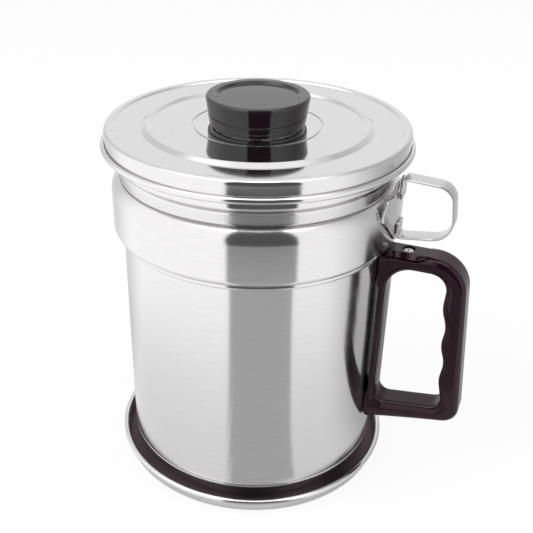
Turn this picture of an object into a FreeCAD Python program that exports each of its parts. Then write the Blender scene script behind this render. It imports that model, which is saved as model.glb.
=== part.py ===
import FreeCAD, Part
import math
import os

# Grease strainer pot in satin stainless sheet: a saucer, a pot with a moulded
# D-handle, a wide strainer vessel nested in the pot's mouth, a lift-out mesh
# strainer hung on the vessel's lip, and a lid with a moulded knob.
# Frame: +Z up, origin on the pot's axis at the saucer's flat underside, the
# handle toward +X. Millimetres.

# ---- driving dimensions -----------------------------------------------------

SHEET = 0.8              # sheet of every drawn shell
SEAT = 0.2               # gap where one loose piece stands on another
TOUCH = 0.1              # gap between pieces that are fastened together
FOLD = 0.6               # bend radius of small folds on the sheet's centre line

# saucer
SAUCER_R = 72.0          # outer radius of the rolled rim
SAUCER_H = 9.4           # top of the rolled rim
SAUCER_ROLL = 1.2        # radius of the rolled rim
SAUCER_BASE_R = 70.7     # outer radius where the floor turns up
SEAT_RING_H = 12.0       # top of the pressed ring that carries the pot
SEAT_RING_R = (42.0, 46.5, 53.0, 57.5)  # foot, crest, crest and foot of the ring
SAUCER_BEND = 1.6        # bend at the wall's foot
SEAT_RING_BEND = 2.0     # bends at the ring's crest

# pot
POT_R = 65.0             # outer radius of the wall
POT_H = 118.4            # foot ring to top of the rolled rim
POT_ROLL = 1.4           # radius of the rolled rim
POT_BEND = 1.6           # bend radius at the foot
POT_RECESS = 1.2         # height of the bottom panel above the foot ring
POT_RECESS_PLAY = 1.2    # radial play of the recess round the saucer's ring

# strainer vessel
NEST_PLAY = 0.8          # radial play of the nested part in the pot's mouth
NEST_DEPTH = 18.0        # depth of the nested part below the ledge
NEST_BEND = 3.0
VESSEL_R = 69.6          # outer radius of the wide wall
VESSEL_WALL_H = 20.6     # ledge to the start of the shoulder
LEDGE_BEND = 0.8
SHOULDER_BEND = 4.2      # convex bend of the shoulder
NECK_R = 65.0            # outer radius of the neck
NECK_H = 7.4             # shoulder to the swaged bead
SWAGE_R = 67.0           # outer radius of the swaged bead
SWAGE_FACE = 2.6         # height of the bead's upright face
SWAGE_SLOPE = 2.6        # height of its sloped top
COLLAR_R = 64.7          # outer radius of the collar above the bead
COLLAR_H = 8.1           # top of the slope to the middle of the rolled lip
LIP_ROLL = 1.2           # radius of the rolled lip
DRAIN_R = 2.6            # drain holes in the vessel's floor
DRAIN_PITCH = 14.0       # distance between the rings of drain holes
DRAIN_MARGIN = 6.0       # least plain floor outside the last ring

# lift-out strainer
CUP_OVERHANG = 1.9       # how far the flange reaches past the vessel's lip
CUP_PLAY = 1.5           # radial play of the cup's mouth in the collar
CUP_DEPTH = 38.0
CUP_TAPER = 4.2          # how much narrower the cup is at its bottom
CUP_BEND = 1.5
CUP_BOTTOM_LIP = 13.0    # width of the inward lip that carries the mesh
MESH_T = 0.5
MESH_MARGIN = 3.0        # mesh edge inside the cup's bottom corner
RING_W = 7.0             # clamping ring over the edge of the mesh
RING_T = 0.8

# lid
LID_GROOVE_R = 30.2      # pressed groove in the centre panel
LID_GROOVE_W = 1.6
LID_GROOVE_DEEP = 0.4
LID_RING_R = (48.2, 49.5, 54.7, 56.0)  # foot, crest, crest and foot of the raised ring
LID_RING_H = 1.3
LID_PANEL_RISE = 0.5     # rise of the outer panel from the ring to the ridge
LID_SKIRT_PLAY = 2.8     # radial play of the skirt's top round the strainer's flange
LID_RIDGE_W = 4.4        # width of the raised ridge along the rim
LID_RIDGE_H = 1.2
LID_RIDGE_BEND = (1.2, 1.5)  # bends at the ridge's inner and outer edge
LID_HEM_PLAY = 3.65      # radial play of the hem round the vessel's bead
LID_HEM_DROP = 7.05      # panel to the middle of the hem
LID_HEM_ROLL = 1.5

# knob
KNOB_FOOT_R = 21.6
KNOB_FOOT_H = 1.7
KNOB_LOW_R = 22.6
KNOB_TOP_R = 24.4
KNOB_H = 14.3
KNOB_EDGE = 1.3
KNOB_DISH_R = (18.1, 19.7)   # bottom and mouth of the dished top
KNOB_DISH_DEEP = 1.2
INSERT_R = 4.0
INSERT_L = 8.0
KNOB_SCREW_R = 2.0
KNOB_SCREW_HEAD = (4.0, 2.4)  # head radius and height
KNOB_SCREW_PLAY = 0.2
WASHER_R = 6.5
WASHER_T = 1.0

# handle on the pot
HANDLE_W = 15.0          # width across the handle
HANDLE_DROP = 1.0        # handle's top below the vessel's ledge
HANDLE_TOP_REACH = 40.3  # pot wall to the outer top corner
HANDLE_LOW_REACH = 47.1  # pot wall to the outer bottom corner
HANDLE_H = 87.4          # top to the outer bottom corner
HANDLE_ROOT_DROP = 9.8   # how far the lower arm falls toward the pot
HANDLE_TOP_BEND = 17.0
HANDLE_LOW_BEND = 8.0
HANDLE_ROUND = 3.0       # rounding of the outer edges
ARM_T = 7.6              # thickness of the upper arm
LOWER_ARM_T = (10.4, 5.4)  # thickness of the lower arm at its root and its end
SPINE_T = 4.3            # thickness of the spine along the pot
SPINE_GAP = 1.2          # gap between the spine and the pot wall
SPINE_SPAN = (17.6, 22.4)  # where the gap starts and ends, from top and root
GRIP_T = 9.3             # mean thickness of the grip bar
GRIP_WAVE = 1.2          # finger waves, either side of the mean
GRIP_PITCH = 19.6        # one finger
GRIP_WAVE_BEND = 18.0
GRIP_ROUND = 2.0         # rounding of the finger hole's edges
HOLE_BENDS = (5.0, 12.0, 8.0, 6.0)  # lower root, upper root, upper and lower grip
RIB_W = 9.0              # raised rib along the upper arm
RIB_H = 2.8
RIB_END = 26.0           # pot wall to the rounded end of the side ledges
ROOT_CLEAR = 0.6         # gap between the handle's root and the pot's rolled rim

# handle brackets and screw
BRACKET_W = 12.0
BRACKET_T = 1.2
BRACKET_FOOT_H = (12.5, 9.5)  # upper and lower foot
BRACKET_FOOT_UP = 2.4    # lower foot above the handle's root corner
TONGUE_W = 9.0
TONGUE_T = 1.6
TONGUE_L = 17.0          # pot wall to the end of the upper tongue
HOOK_L = 12.0            # pot wall to the end of the lower tongue
HOOK_UP = 5.4            # lower tongue above the handle's root corner
TONGUE_UP = 2.0          # handle left under the upper tongue
SCREW_REACH = 12.0       # pot wall to the screw's axis
SCREW_R = 1.5
SCREW_HEAD = (2.6, 1.4)
SCREW_SINK = 0.3         # head top below the rib
PHILLIPS = (3.0, 0.7, 0.8)   # cross length, width and depth

# strap handle on the vessel
PLATE_T = 1.0
PLATE_TOP_W = 33.2       # width across the plate's upper edge, before rounding
PLATE_WIDE_W = 45.0      # greatest width, before its corners are rounded
PLATE_LOW = 0.6          # plate's tip above the ledge, before it is rounded
PLATE_HIGH = 28.1        # upper edge above the tip
PLATE_WIDE_UP = 21.0     # widest level above the tip
PLATE_BENDS = (8.0, 5.5, 4.0)  # rounding of the tip, the sides and the upper corners
TAB_W = 9.4              # tab that rises behind the strap
TAB_H = 4.8
TAB_BENDS = (1.5, 1.0)   # rounding at the tab's root and at its corners
STRAP_W = 8.8
STRAP_T = 1.0
STRAP_REACH = (24.9, 27.4)  # wide wall to the strap's outer face, above and below
STRAP_RISE = 1.5         # strap's root above the tab
STRAP_H = 30.1           # height of the loop at its root, outer faces
STRAP_SLOPE = (1.3, 3.3)  # fall of the upper strand and rise of the lower, outward
STRAP_BEND = (7.8, 9.6)  # upper and lower outer bend, on the strip's centre line
STRAP_FOOT_BEND = 1.6
STRAP_FOOT = (9.5, 7.2)  # length of the upper and lower feet on the plate

# ---- levels and radii worked out from them ----------------------------------

HALF = SHEET / 2
POT_FOOT_Z = SEAT_RING_H + SEAT - POT_RECESS
POT_TOP_Z = POT_FOOT_Z + POT_H
LEDGE_Z = POT_TOP_Z + SEAT
SHOULDER_Z = LEDGE_Z + VESSEL_WALL_H + SHOULDER_BEND + HALF
SWAGE_Z = SHOULDER_Z + NECK_H
COLLAR_Z = SWAGE_Z + SWAGE_FACE + SWAGE_SLOPE
LIP_Z = COLLAR_Z + COLLAR_H
CUP_Z = LIP_Z + LIP_ROLL + SEAT
LID_Z = CUP_Z + SHEET + SEAT
KNOB_Z = LID_Z + SHEET + TOUCH
HANDLE_TOP_Z = LEDGE_Z - HANDLE_DROP
HANDLE_LOW_Z = HANDLE_TOP_Z - HANDLE_H
HANDLE_ROOT_Z = HANDLE_LOW_Z - HANDLE_ROOT_DROP
WALL_R = POT_R + TOUCH
MOUTH_R = COLLAR_R - SHEET - CUP_PLAY
CUP_BOTTOM_Z = CUP_Z - CUP_DEPTH
CUP_BOTTOM_R = MOUTH_R - CUP_TAPER
CUP_FLANGE_R = COLLAR_R - SHEET + 2 * LIP_ROLL + CUP_OVERHANG
LID_SKIRT_R = CUP_FLANGE_R + LID_SKIRT_PLAY + SHEET
LID_PANEL_R = LID_SKIRT_R - LID_RIDGE_W
LID_HEM_R = SWAGE_R + LID_HEM_PLAY + LID_HEM_ROLL
PLATE_R = VESSEL_R + TOUCH
PLATE_Z = LEDGE_Z + PLATE_LOW
TAB_Z = PLATE_Z + PLATE_HIGH + TAB_H

AXIS = FreeCAD.Vector(0, 0, 1)
ORIGIN = FreeCAD.Vector(0, 0, 0)


# ---- profile helpers --------------------------------------------------------

def turn_at(points, i):
    """+1 where the path turns left at point i, -1 where it turns right."""
    (ax, ay), (bx, by), (cx, cy) = points[i - 1], points[i], points[(i + 1) % len(points)]
    cross = (bx - ax) * (cy - by) - (by - ay) * (cx - bx)
    return 1 if cross > 0 else -1


def unit(a, b):
    length = math.dist(a, b)
    return ((b[0] - a[0]) / length, (b[1] - a[1]) / length)


def shifted(points, shift):
    """The open path moved sideways by shift, left of its travel, corners mitred."""
    moved = []
    for i, (x, y) in enumerate(points):
        before = unit(points[max(i - 1, 0)], points[max(i, 1)])
        after = unit(points[min(i, len(points) - 2)], points[min(i + 1, len(points) - 1)])
        nx, ny = -before[1] - after[1], before[0] + after[0]
        scale = 2 * shift / (nx * nx + ny * ny)
        moved.append((x + nx * scale, y + ny * scale))
    return moved


def path_edges(points, bends, place, closed=False):
    """Edges along the path, its corners rounded to the radii in bends."""
    count = len(points)
    corners = []
    for i, b in enumerate(points):
        radius = bends[i]
        if radius <= 0:
            corners.append((b, None, b))
            continue
        to_a = unit(b, points[i - 1])
        to_c = unit(b, points[(i + 1) % count])
        half = math.acos(to_a[0] * to_c[0] + to_a[1] * to_c[1]) / 2
        cut = radius / math.tan(half)
        mx, my = to_a[0] + to_c[0], to_a[1] + to_c[1]
        reach = (radius / math.sin(half) - radius) / math.hypot(mx, my)
        start = (b[0] + to_a[0] * cut, b[1] + to_a[1] * cut)
        end = (b[0] + to_c[0] * cut, b[1] + to_c[1] * cut)
        corners.append((start, (b[0] + mx * reach, b[1] + my * reach), end))
    edges = []
    for i, (start, middle, end) in enumerate(corners):
        if middle:
            edges.append(Part.Arc(place(*start), place(*middle), place(*end)).toShape())
        if i + 1 < count or closed:
            follow = corners[(i + 1) % count][0]
            if math.dist(end, follow) > 1e-6:
                edges.append(Part.makeLine(place(*end), place(*follow)))
    return edges


def upright(x, z):
    return FreeCAD.Vector(x, 0, z)


def outline_face(points, bends, place=upright):
    """Closed face with rounded corners."""
    edges = path_edges(points, bends, place, closed=True)
    return Part.Face(Part.Wire(Part.__sortEdges__(edges)))


def sheet_face(path, thickness=SHEET):
    """Section of a bent sheet; path lists (x, z, bend radius) of its centre line."""
    points = [(x, z) for x, z, bend in path]
    sides = []
    for shift in (thickness / 2, -thickness / 2):
        bends = [bend and max(bend - shift * turn_at(points, i), 0.0)
                 for i, (x, z, bend) in enumerate(path)]
        sides.append((shifted(points, shift), bends))
    edges = []
    for points, bends in sides:
        edges += path_edges(points, bends, upright)
    (left, _), (right, _) = sides
    edges.append(Part.makeLine(upright(*left[0]), upright(*right[0])))
    edges.append(Part.makeLine(upright(*left[-1]), upright(*right[-1])))
    return Part.Face(Part.Wire(Part.__sortEdges__(edges)))


def turned(face):
    return face.revolve(ORIGIN, AXIS, 360)


def rolled_edge(r, z, radius):
    """Closed rolled edge of a sheet, centred at radius r and height z."""
    return Part.makeTorus(r, radius, FreeCAD.Vector(0, 0, z), AXIS)


def shell(path, roll):
    """Drawn sheet shell with a rolled edge at (r, z, radius)."""
    return turned(sheet_face(path)).fuse(rolled_edge(*roll)).removeSplitter()


def disc(radius, z, height, inner=0.0):
    solid = Part.makeCylinder(radius, height, FreeCAD.Vector(0, 0, z))
    if inner:
        solid = solid.cut(Part.makeCylinder(inner, height, FreeCAD.Vector(0, 0, z)))
    return solid


def block(x0, x1, width, z0, z1):
    """Box from x0 to x1 and z0 to z1, centred across Y."""
    return Part.makeBox(x1 - x0, width, z1 - z0, FreeCAD.Vector(x0, -width / 2, z0))


def slab(face, width):
    """The upright face thickened across Y, centred on it."""
    solid = face.extrude(FreeCAD.Vector(0, width, 0))
    solid.translate(FreeCAD.Vector(0, -width / 2, 0))
    return solid


def saddle(radius, thickness, width, z0, z1):
    """Curved plate lying on a round wall at +X."""
    ring = disc(radius + thickness, z0, z1 - z0, radius)
    return ring.common(block(0, radius + 2 * thickness, width, z0, z1))


def cross_slot(x, top, down=False):
    """Cross recess of a screw head, cut from its top face."""
    length, width, depth = PHILLIPS
    z = top if down else top - depth
    cut = None
    for sx, sy in ((length, width), (width, length)):
        bar = Part.makeBox(sx, sy, depth, FreeCAD.Vector(x - sx / 2, -sy / 2, z))
        cut = bar if cut is None else cut.fuse(bar)
    return cut


# ---- saucer -----------------------------------------------------------------

def make_saucer():
    foot_in, crest_in, crest_out, foot_out = SEAT_RING_R
    crest = SEAT_RING_H - HALF
    rim_r = SAUCER_R - SAUCER_ROLL
    rim_z = SAUCER_H - SAUCER_ROLL
    path = [(0, HALF, 0), (foot_in, HALF, FOLD), (crest_in, crest, SEAT_RING_BEND),
            (crest_out, crest, SEAT_RING_BEND), (foot_out, HALF, FOLD),
            (SAUCER_BASE_R - HALF, HALF, SAUCER_BEND), (rim_r, rim_z, 0)]
    return shell(path, (rim_r, rim_z, SAUCER_ROLL))


# ---- pot and its handle -----------------------------------------------------

def make_pot_shell():
    foot = POT_FOOT_Z + HALF
    panel = foot + POT_RECESS
    step = SEAT_RING_R[2] + POT_RECESS_PLAY
    roll_r = POT_R - SHEET + POT_ROLL
    roll_z = POT_TOP_Z - POT_ROLL
    wall = POT_R - HALF
    path = [(0, panel, 0), (step, panel, FOLD / 2), (step + POT_RECESS, foot, FOLD / 2),
            (wall, foot, POT_BEND), (wall, roll_z, 0)]
    return shell(path, (roll_r, roll_z, POT_ROLL))


def grip_x(z):
    """Outer face of the grip bar at height z."""
    slope = (HANDLE_LOW_REACH - HANDLE_TOP_REACH) / HANDLE_H
    return POT_R + HANDLE_TOP_REACH + slope * (HANDLE_TOP_Z - z)


def handle_outline():
    inner = POT_R - 4 * SPINE_T
    points = [(inner, HANDLE_TOP_Z), (grip_x(HANDLE_TOP_Z), HANDLE_TOP_Z),
              (grip_x(HANDLE_LOW_Z), HANDLE_LOW_Z), (inner, HANDLE_ROOT_Z)]
    return outline_face(points, [0, HANDLE_TOP_BEND, HANDLE_LOW_BEND, 0])


def finger_hole():
    """Opening of the handle, with four finger places on the grip side."""
    spine = POT_R + SPINE_GAP + SPINE_T
    top = HANDLE_TOP_Z - ARM_T
    low_root = HANDLE_ROOT_Z + LOWER_ARM_T[0]
    low_grip = HANDLE_LOW_Z + LOWER_ARM_T[1]
    middle = (top + low_grip) / 2
    points = [(spine, low_root), (spine, top)]
    bends = [HOLE_BENDS[0], HOLE_BENDS[1]]
    waves = [(top, 1)]
    waves += [(middle - n * GRIP_PITCH / 2, -1 if n % 2 == 0 else 1) for n in range(-2, 3)]
    waves += [(low_grip, 1)]
    for z, side in waves:
        points.append((grip_x(z) - GRIP_T + side * GRIP_WAVE, z))
        bends.append(GRIP_WAVE_BEND)
    bends[2], bends[-1] = HOLE_BENDS[2:]
    return outline_face(points, bends)


def long_edges(solid, keep):
    """Edges of a slab's two side faces that satisfy keep(edge)."""
    found = []
    for edge in solid.Edges:
        ys = {round(v.Y, 3) for v in edge.Vertexes}
        if len(ys) == 1 and abs(abs(ys.pop()) - HANDLE_W / 2) < 1e-3 and keep(edge):
            found.append(edge)
    return found


def tongue_z():
    """Underside of the upper bracket's tongue."""
    return HANDLE_TOP_Z - ARM_T + TONGUE_UP


def bracket_feet():
    """(bottom, top, underside and end of the tongue) of the two brackets."""
    high = tongue_z() + TONGUE_T
    low = HANDLE_ROOT_Z + BRACKET_FOOT_UP
    return ((high - BRACKET_FOOT_H[0], high, tongue_z(), TONGUE_L),
            (low, low + BRACKET_FOOT_H[1], HANDLE_ROOT_Z + HOOK_UP, HOOK_L))


def bracket(spec, grow=0.0):
    """Steel angle: a foot welded to the wall and a tongue into the handle."""
    low, high, under, reach = spec
    foot = saddle(WALL_R - grow, BRACKET_T + 2 * grow, BRACKET_W + 2 * grow,
                  low - grow, high + grow)
    tongue = block(WALL_R + BRACKET_T / 2, POT_R + reach + grow, TONGUE_W + 2 * grow,
                   under - grow, under + TONGUE_T + grow)
    return foot.fuse(tongue).removeSplitter()


def make_handle_grip():
    bar = slab(handle_outline(), HANDLE_W)
    bar = bar.makeFillet(HANDLE_ROUND, long_edges(bar, lambda e: e.BoundBox.XMax > POT_R))
    hole = slab(finger_hole(), HANDLE_W + 2)
    bar = bar.cut(hole)
    bar = bar.makeFillet(GRIP_ROUND, hole_edges(bar))
    # saddle of the root, the gap behind the spine and room for the pot's rim
    height = HANDLE_TOP_Z - HANDLE_ROOT_Z
    bar = bar.cut(disc(WALL_R, HANDLE_ROOT_Z - 1, height + 2))
    gap_high = HANDLE_TOP_Z - SPINE_SPAN[0]
    gap_low = HANDLE_ROOT_Z + SPINE_SPAN[1]
    bar = bar.cut(disc(POT_R + SPINE_GAP, gap_low, gap_high - gap_low))
    rim_z = POT_TOP_Z - 2 * POT_ROLL - ROOT_CLEAR
    rim_r = POT_R - SHEET + 2 * POT_ROLL + ROOT_CLEAR
    bar = bar.cut(disc(rim_r, rim_z, height))
    # side ledges that leave the rib
    end = POT_R + RIB_END
    side = (HANDLE_W - RIB_W) / 2
    for y in (-HANDLE_W / 2, HANDLE_W / 2):
        z = HANDLE_TOP_Z - RIB_H
        ledge = Part.makeBox(RIB_END - side + HANDLE_W, 2 * side, 2 * RIB_H,
                             FreeCAD.Vector(POT_R - HANDLE_W, y - side, z))
        ledge = ledge.fuse(Part.makeCylinder(side, 2 * RIB_H,
                                             FreeCAD.Vector(end - side, y, z)))
        bar = bar.cut(ledge)
    # pockets for the brackets and the screw
    for spec in bracket_feet():
        bar = bar.cut(bracket(spec, TOUCH))
    x = POT_R + SCREW_REACH
    head_r, head_h = SCREW_HEAD
    shank = Part.makeCylinder(SCREW_R + 2 * TOUCH, ARM_T, FreeCAD.Vector(x, 0, tongue_z() - 1))
    sink = Part.makeCylinder(head_r + 0.4, ARM_T,
                             FreeCAD.Vector(x, 0, HANDLE_TOP_Z - SCREW_SINK - head_h - TOUCH))
    return bar.cut(shank).cut(sink).removeSplitter()


def hole_edges(solid):
    """Long edges round the finger hole."""
    box = finger_hole().BoundBox
    inside = lambda e: (e.BoundBox.XMin > box.XMin - 0.01 and e.BoundBox.XMax < box.XMax + 0.01
                        and e.BoundBox.ZMin > box.ZMin - 0.01
                        and e.BoundBox.ZMax < box.ZMax + 0.01)
    return long_edges(solid, inside)


def make_upper_bracket():
    hole = Part.makeCylinder(SCREW_R + TOUCH / 2, 4 * TONGUE_T,
                             FreeCAD.Vector(POT_R + SCREW_REACH, 0, tongue_z() - TONGUE_T))
    return bracket(bracket_feet()[0]).cut(hole)


def make_lower_bracket():
    return bracket(bracket_feet()[1])


def make_handle_screw():
    x = POT_R + SCREW_REACH
    head_r, head_h = SCREW_HEAD
    top = HANDLE_TOP_Z - SCREW_SINK
    head = Part.makeCylinder(head_r, head_h, FreeCAD.Vector(x, 0, top - head_h))
    shank_low = tongue_z() - 0.8
    shank = Part.makeCylinder(SCREW_R, top - head_h - shank_low, FreeCAD.Vector(x, 0, shank_low))
    return head.fuse(shank).removeSplitter().cut(cross_slot(x, top))


# ---- strainer vessel and its strap handle -----------------------------------

def make_vessel_shell():
    nest = POT_R - SHEET - NEST_PLAY - HALF
    floor = LEDGE_Z - NEST_DEPTH + HALF
    ledge = LEDGE_Z + HALF
    wide = VESSEL_R - HALF
    neck = NECK_R - HALF
    shoulder = SHOULDER_Z - HALF
    swage = SWAGE_Z + HALF
    collar = COLLAR_R - HALF
    path = [(0, floor, 0), (nest, floor, NEST_BEND), (nest, ledge, 0),
            (wide, ledge, LEDGE_BEND), (wide, shoulder, SHOULDER_BEND), (neck, shoulder, 0),
            (neck, swage, 0), (SWAGE_R - HALF, swage, 0),
            (SWAGE_R - HALF, SWAGE_Z + SWAGE_FACE, 0), (collar, COLLAR_Z, 0), (collar, LIP_Z, 0)]
    body = shell(path, (COLLAR_R - SHEET + LIP_ROLL, LIP_Z, LIP_ROLL))
    under = floor - SHEET
    holes = [Part.makeCylinder(DRAIN_R, 2 * SHEET, FreeCAD.Vector(0, 0, under))]
    rings = int((nest - NEST_BEND - DRAIN_MARGIN - DRAIN_R) / DRAIN_PITCH)
    for ring in range(1, rings + 1):
        for n in range(6 * ring):
            angle = 2 * math.pi * n / (6 * ring)
            at = FreeCAD.Vector(ring * DRAIN_PITCH * math.cos(angle),
                                ring * DRAIN_PITCH * math.sin(angle), under)
            holes.append(Part.makeCylinder(DRAIN_R, 2 * SHEET, at))
    return body.cut(Part.makeCompound(holes))


def make_strap_plate():
    """Shield-shaped plate rolled to the wide wall, with a tab at its top."""
    top = PLATE_Z + PLATE_HIGH
    wide = PLATE_Z + PLATE_WIDE_UP
    points = [(0, PLATE_Z), (PLATE_WIDE_W / 2, wide), (PLATE_TOP_W / 2, top),
              (TAB_W / 2, top), (TAB_W / 2, TAB_Z), (-TAB_W / 2, TAB_Z), (-TAB_W / 2, top),
              (-PLATE_TOP_W / 2, top), (-PLATE_WIDE_W / 2, wide)]
    tip, side, corner = PLATE_BENDS
    root, tab = TAB_BENDS
    bends = [tip, side, corner, root, tab, tab, root, corner, side]
    across = lambda y, z: FreeCAD.Vector(0, y, z)
    blank = outline_face(points, bends, across).extrude(FreeCAD.Vector(2 * VESSEL_R, 0, 0))
    ring = disc(PLATE_R + PLATE_T, PLATE_Z - 1, TAB_Z - PLATE_Z + 2, PLATE_R)
    return blank.common(ring)


def make_strap_loop():
    """Flat strip bent to a D, its two feet lying on the plate."""
    half = STRAP_T / 2
    foot = PLATE_R + PLATE_T + TOUCH + half
    reach_high, reach_low = (VESSEL_R + reach - half for reach in STRAP_REACH)
    high = TAB_Z + STRAP_RISE - half
    low = high - STRAP_H + STRAP_T
    path = [(foot, high - STRAP_FOOT[0], 0), (foot, high, STRAP_FOOT_BEND),
            (reach_high, high - STRAP_SLOPE[0], STRAP_BEND[0]),
            (reach_low, low + STRAP_SLOPE[1], STRAP_BEND[1]),
            (foot, low, STRAP_FOOT_BEND), (foot, low + STRAP_FOOT[1], 0)]
    return slab(sheet_face(path, STRAP_T), STRAP_W)


# ---- lift-out strainer ------------------------------------------------------

def make_strainer_cup():
    flange = CUP_Z + HALF
    bottom = CUP_BOTTOM_Z + HALF
    mouth = MOUTH_R - HALF
    low = CUP_BOTTOM_R - HALF
    path = [(CUP_FLANGE_R, flange, 0), (mouth, flange, CUP_BEND), (low, bottom, CUP_BEND),
            (low - CUP_BOTTOM_LIP, bottom, 0)]
    return turned(sheet_face(path))


def make_strainer_mesh():
    return disc(CUP_BOTTOM_R - SHEET - MESH_MARGIN, CUP_BOTTOM_Z + SHEET + TOUCH, MESH_T)


def make_mesh_ring():
    outer = CUP_BOTTOM_R - SHEET - MESH_MARGIN
    return disc(outer, CUP_BOTTOM_Z + SHEET + MESH_T + 2 * TOUCH, RING_T, outer - RING_W)


# ---- lid and knob -----------------------------------------------------------

def make_lid_shell():
    panel = LID_Z + HALF
    foot_in, crest_in, crest_out, foot_out = LID_RING_R
    ring = panel + LID_RING_H
    groove = LID_GROOVE_W / 2
    hem_z = panel - LID_HEM_DROP
    ridge = panel + LID_RIDGE_H
    inner_bend, outer_bend = LID_RIDGE_BEND
    rise = LID_PANEL_RISE / 2
    path = [(KNOB_SCREW_R + KNOB_SCREW_PLAY, panel, 0), (LID_GROOVE_R - groove, panel, FOLD),
            (LID_GROOVE_R, panel - LID_GROOVE_DEEP, FOLD), (LID_GROOVE_R + groove, panel, FOLD),
            (foot_in, panel, FOLD), (crest_in, ring, FOLD), (crest_out, ring, FOLD),
            (foot_out, panel - rise, FOLD), (LID_PANEL_R, panel + rise, FOLD),
            (LID_PANEL_R + LID_RIDGE_H - rise, ridge, inner_bend),
            (LID_SKIRT_R - HALF, ridge, outer_bend), (LID_HEM_R, hem_z, 0)]
    return shell(path, (LID_HEM_R, hem_z, LID_HEM_ROLL))


def make_lid_knob():
    top = KNOB_Z + KNOB_H
    foot = KNOB_Z + KNOB_FOOT_H
    well = INSERT_R + TOUCH
    points = [(0, KNOB_Z + INSERT_L + TOUCH), (well, KNOB_Z + INSERT_L + TOUCH), (well, KNOB_Z),
              (KNOB_FOOT_R, KNOB_Z), (KNOB_FOOT_R, foot), (KNOB_LOW_R, foot), (KNOB_TOP_R, top),
              (KNOB_DISH_R[1], top), (KNOB_DISH_R[0], top - KNOB_DISH_DEEP),
              (0, top - KNOB_DISH_DEEP)]
    bends = [0, 0, 0, 0, 0, 0.6, KNOB_EDGE, 0.5, 0, 0]
    return turned(outline_face(points, bends))


def make_knob_insert():
    return disc(INSERT_R, KNOB_Z, INSERT_L, KNOB_SCREW_R + TOUCH / 2)


def make_knob_screw():
    head_r, head_h = KNOB_SCREW_HEAD
    seat = LID_Z - WASHER_T - 2 * TOUCH
    head = disc(head_r, seat - head_h, head_h)
    shank = disc(KNOB_SCREW_R, seat, KNOB_Z + INSERT_L - 1 - seat)
    cut = cross_slot(0, seat - head_h, down=True)
    return head.fuse(shank).removeSplitter().cut(cut)


def make_knob_washer():
    return disc(WASHER_R, LID_Z - WASHER_T - TOUCH, WASHER_T, KNOB_SCREW_R + KNOB_SCREW_PLAY)


# ---- export -----------------------------------------------------------------

NODES = {
    "saucer": make_saucer,
    "pot_shell": make_pot_shell,
    "upper_bracket": make_upper_bracket,
    "lower_bracket": make_lower_bracket,
    "handle_grip": make_handle_grip,
    "handle_screw": make_handle_screw,
    "vessel_shell": make_vessel_shell,
    "strap_plate": make_strap_plate,
    "strap_loop": make_strap_loop,
    "strainer_cup": make_strainer_cup,
    "strainer_mesh": make_strainer_mesh,
    "mesh_ring": make_mesh_ring,
    "lid_shell": make_lid_shell,
    "lid_knob": make_lid_knob,
    "knob_insert": make_knob_insert,
    "knob_screw": make_knob_screw,
    "knob_washer": make_knob_washer,
}

os.makedirs("parts", exist_ok=True)
for name, make in NODES.items():
    shape = make()
    if len(shape.Solids) != 1 or not shape.isValid():
        raise ValueError(f"{name}: {len(shape.Solids)} solids, valid {shape.isValid()}")
    shape.Solids[0].exportStep(f"parts/{name}.step")
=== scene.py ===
import math

import bpy
import numpy as np
from bpy.props import FloatProperty, FloatVectorProperty, IntProperty, PointerProperty
from bpy.types import Operator, Panel, PropertyGroup
from mathutils import Matrix


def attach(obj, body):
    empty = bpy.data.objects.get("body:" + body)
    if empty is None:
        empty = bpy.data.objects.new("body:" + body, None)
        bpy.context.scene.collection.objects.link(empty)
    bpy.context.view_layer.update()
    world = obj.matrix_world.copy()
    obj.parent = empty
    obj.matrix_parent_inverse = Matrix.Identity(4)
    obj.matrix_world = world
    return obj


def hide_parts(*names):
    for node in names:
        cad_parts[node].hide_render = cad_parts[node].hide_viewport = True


bl_info = {
    "name": "Grease strainer pot",
    "version": (1, 0, 0),
    "blender": (4, 5, 0),
    "location": "View3D > Sidebar > Strainer Pot",
    "description": "Builds the finished surfaces of a stainless grease strainer pot",
    "category": "Object",
}

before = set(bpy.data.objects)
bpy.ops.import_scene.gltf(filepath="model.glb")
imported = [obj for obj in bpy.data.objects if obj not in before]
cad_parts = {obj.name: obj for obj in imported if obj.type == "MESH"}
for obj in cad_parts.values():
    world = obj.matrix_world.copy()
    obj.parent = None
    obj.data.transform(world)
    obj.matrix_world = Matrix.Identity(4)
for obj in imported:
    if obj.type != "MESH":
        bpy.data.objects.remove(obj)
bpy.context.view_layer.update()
MM = 0.001
WELD = 0.1 * MM         # gap between the pieces of one body
HAIRLINE = 0.002 * MM   # depth of the turned hairlines
LINES, BANDS = 2600.0, 160.0    # how fine the hairlines are, and their broad bands
INSIDE_ROUGHNESS = 0.5    # roughness where the saucer's inside carries its painted shade


# ---- property helpers -------------------------------------------------------

def size(name, description, mm):
    """A length in metres whose default is given in millimetres."""
    return FloatProperty(name=name, description=description, default=mm * MM, unit="LENGTH")


def share(name, description, value):
    return FloatProperty(name=name, description=description, default=value, min=0.0, max=1.0)


def colour(name, description, rgb):
    return FloatVectorProperty(name=name, description=description, default=rgb, size=3,
                               min=0.0, max=1.0, subtype="COLOR")


# ---- sizes and colours ------------------------------------------------------

class SheetProps(PropertyGroup):
    thickness: size("Sheet", "Thickness of every drawn shell", 0.8)
    seat: size("Seat gap", "Gap where one loose piece stands on another", 0.2)
    fold: size("Fold", "Bend radius of small folds in the sheet", 0.6)
    turns: IntProperty(name="Segments", description="Segments round a turned shell", default=288,
                       min=48, max=512)


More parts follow.
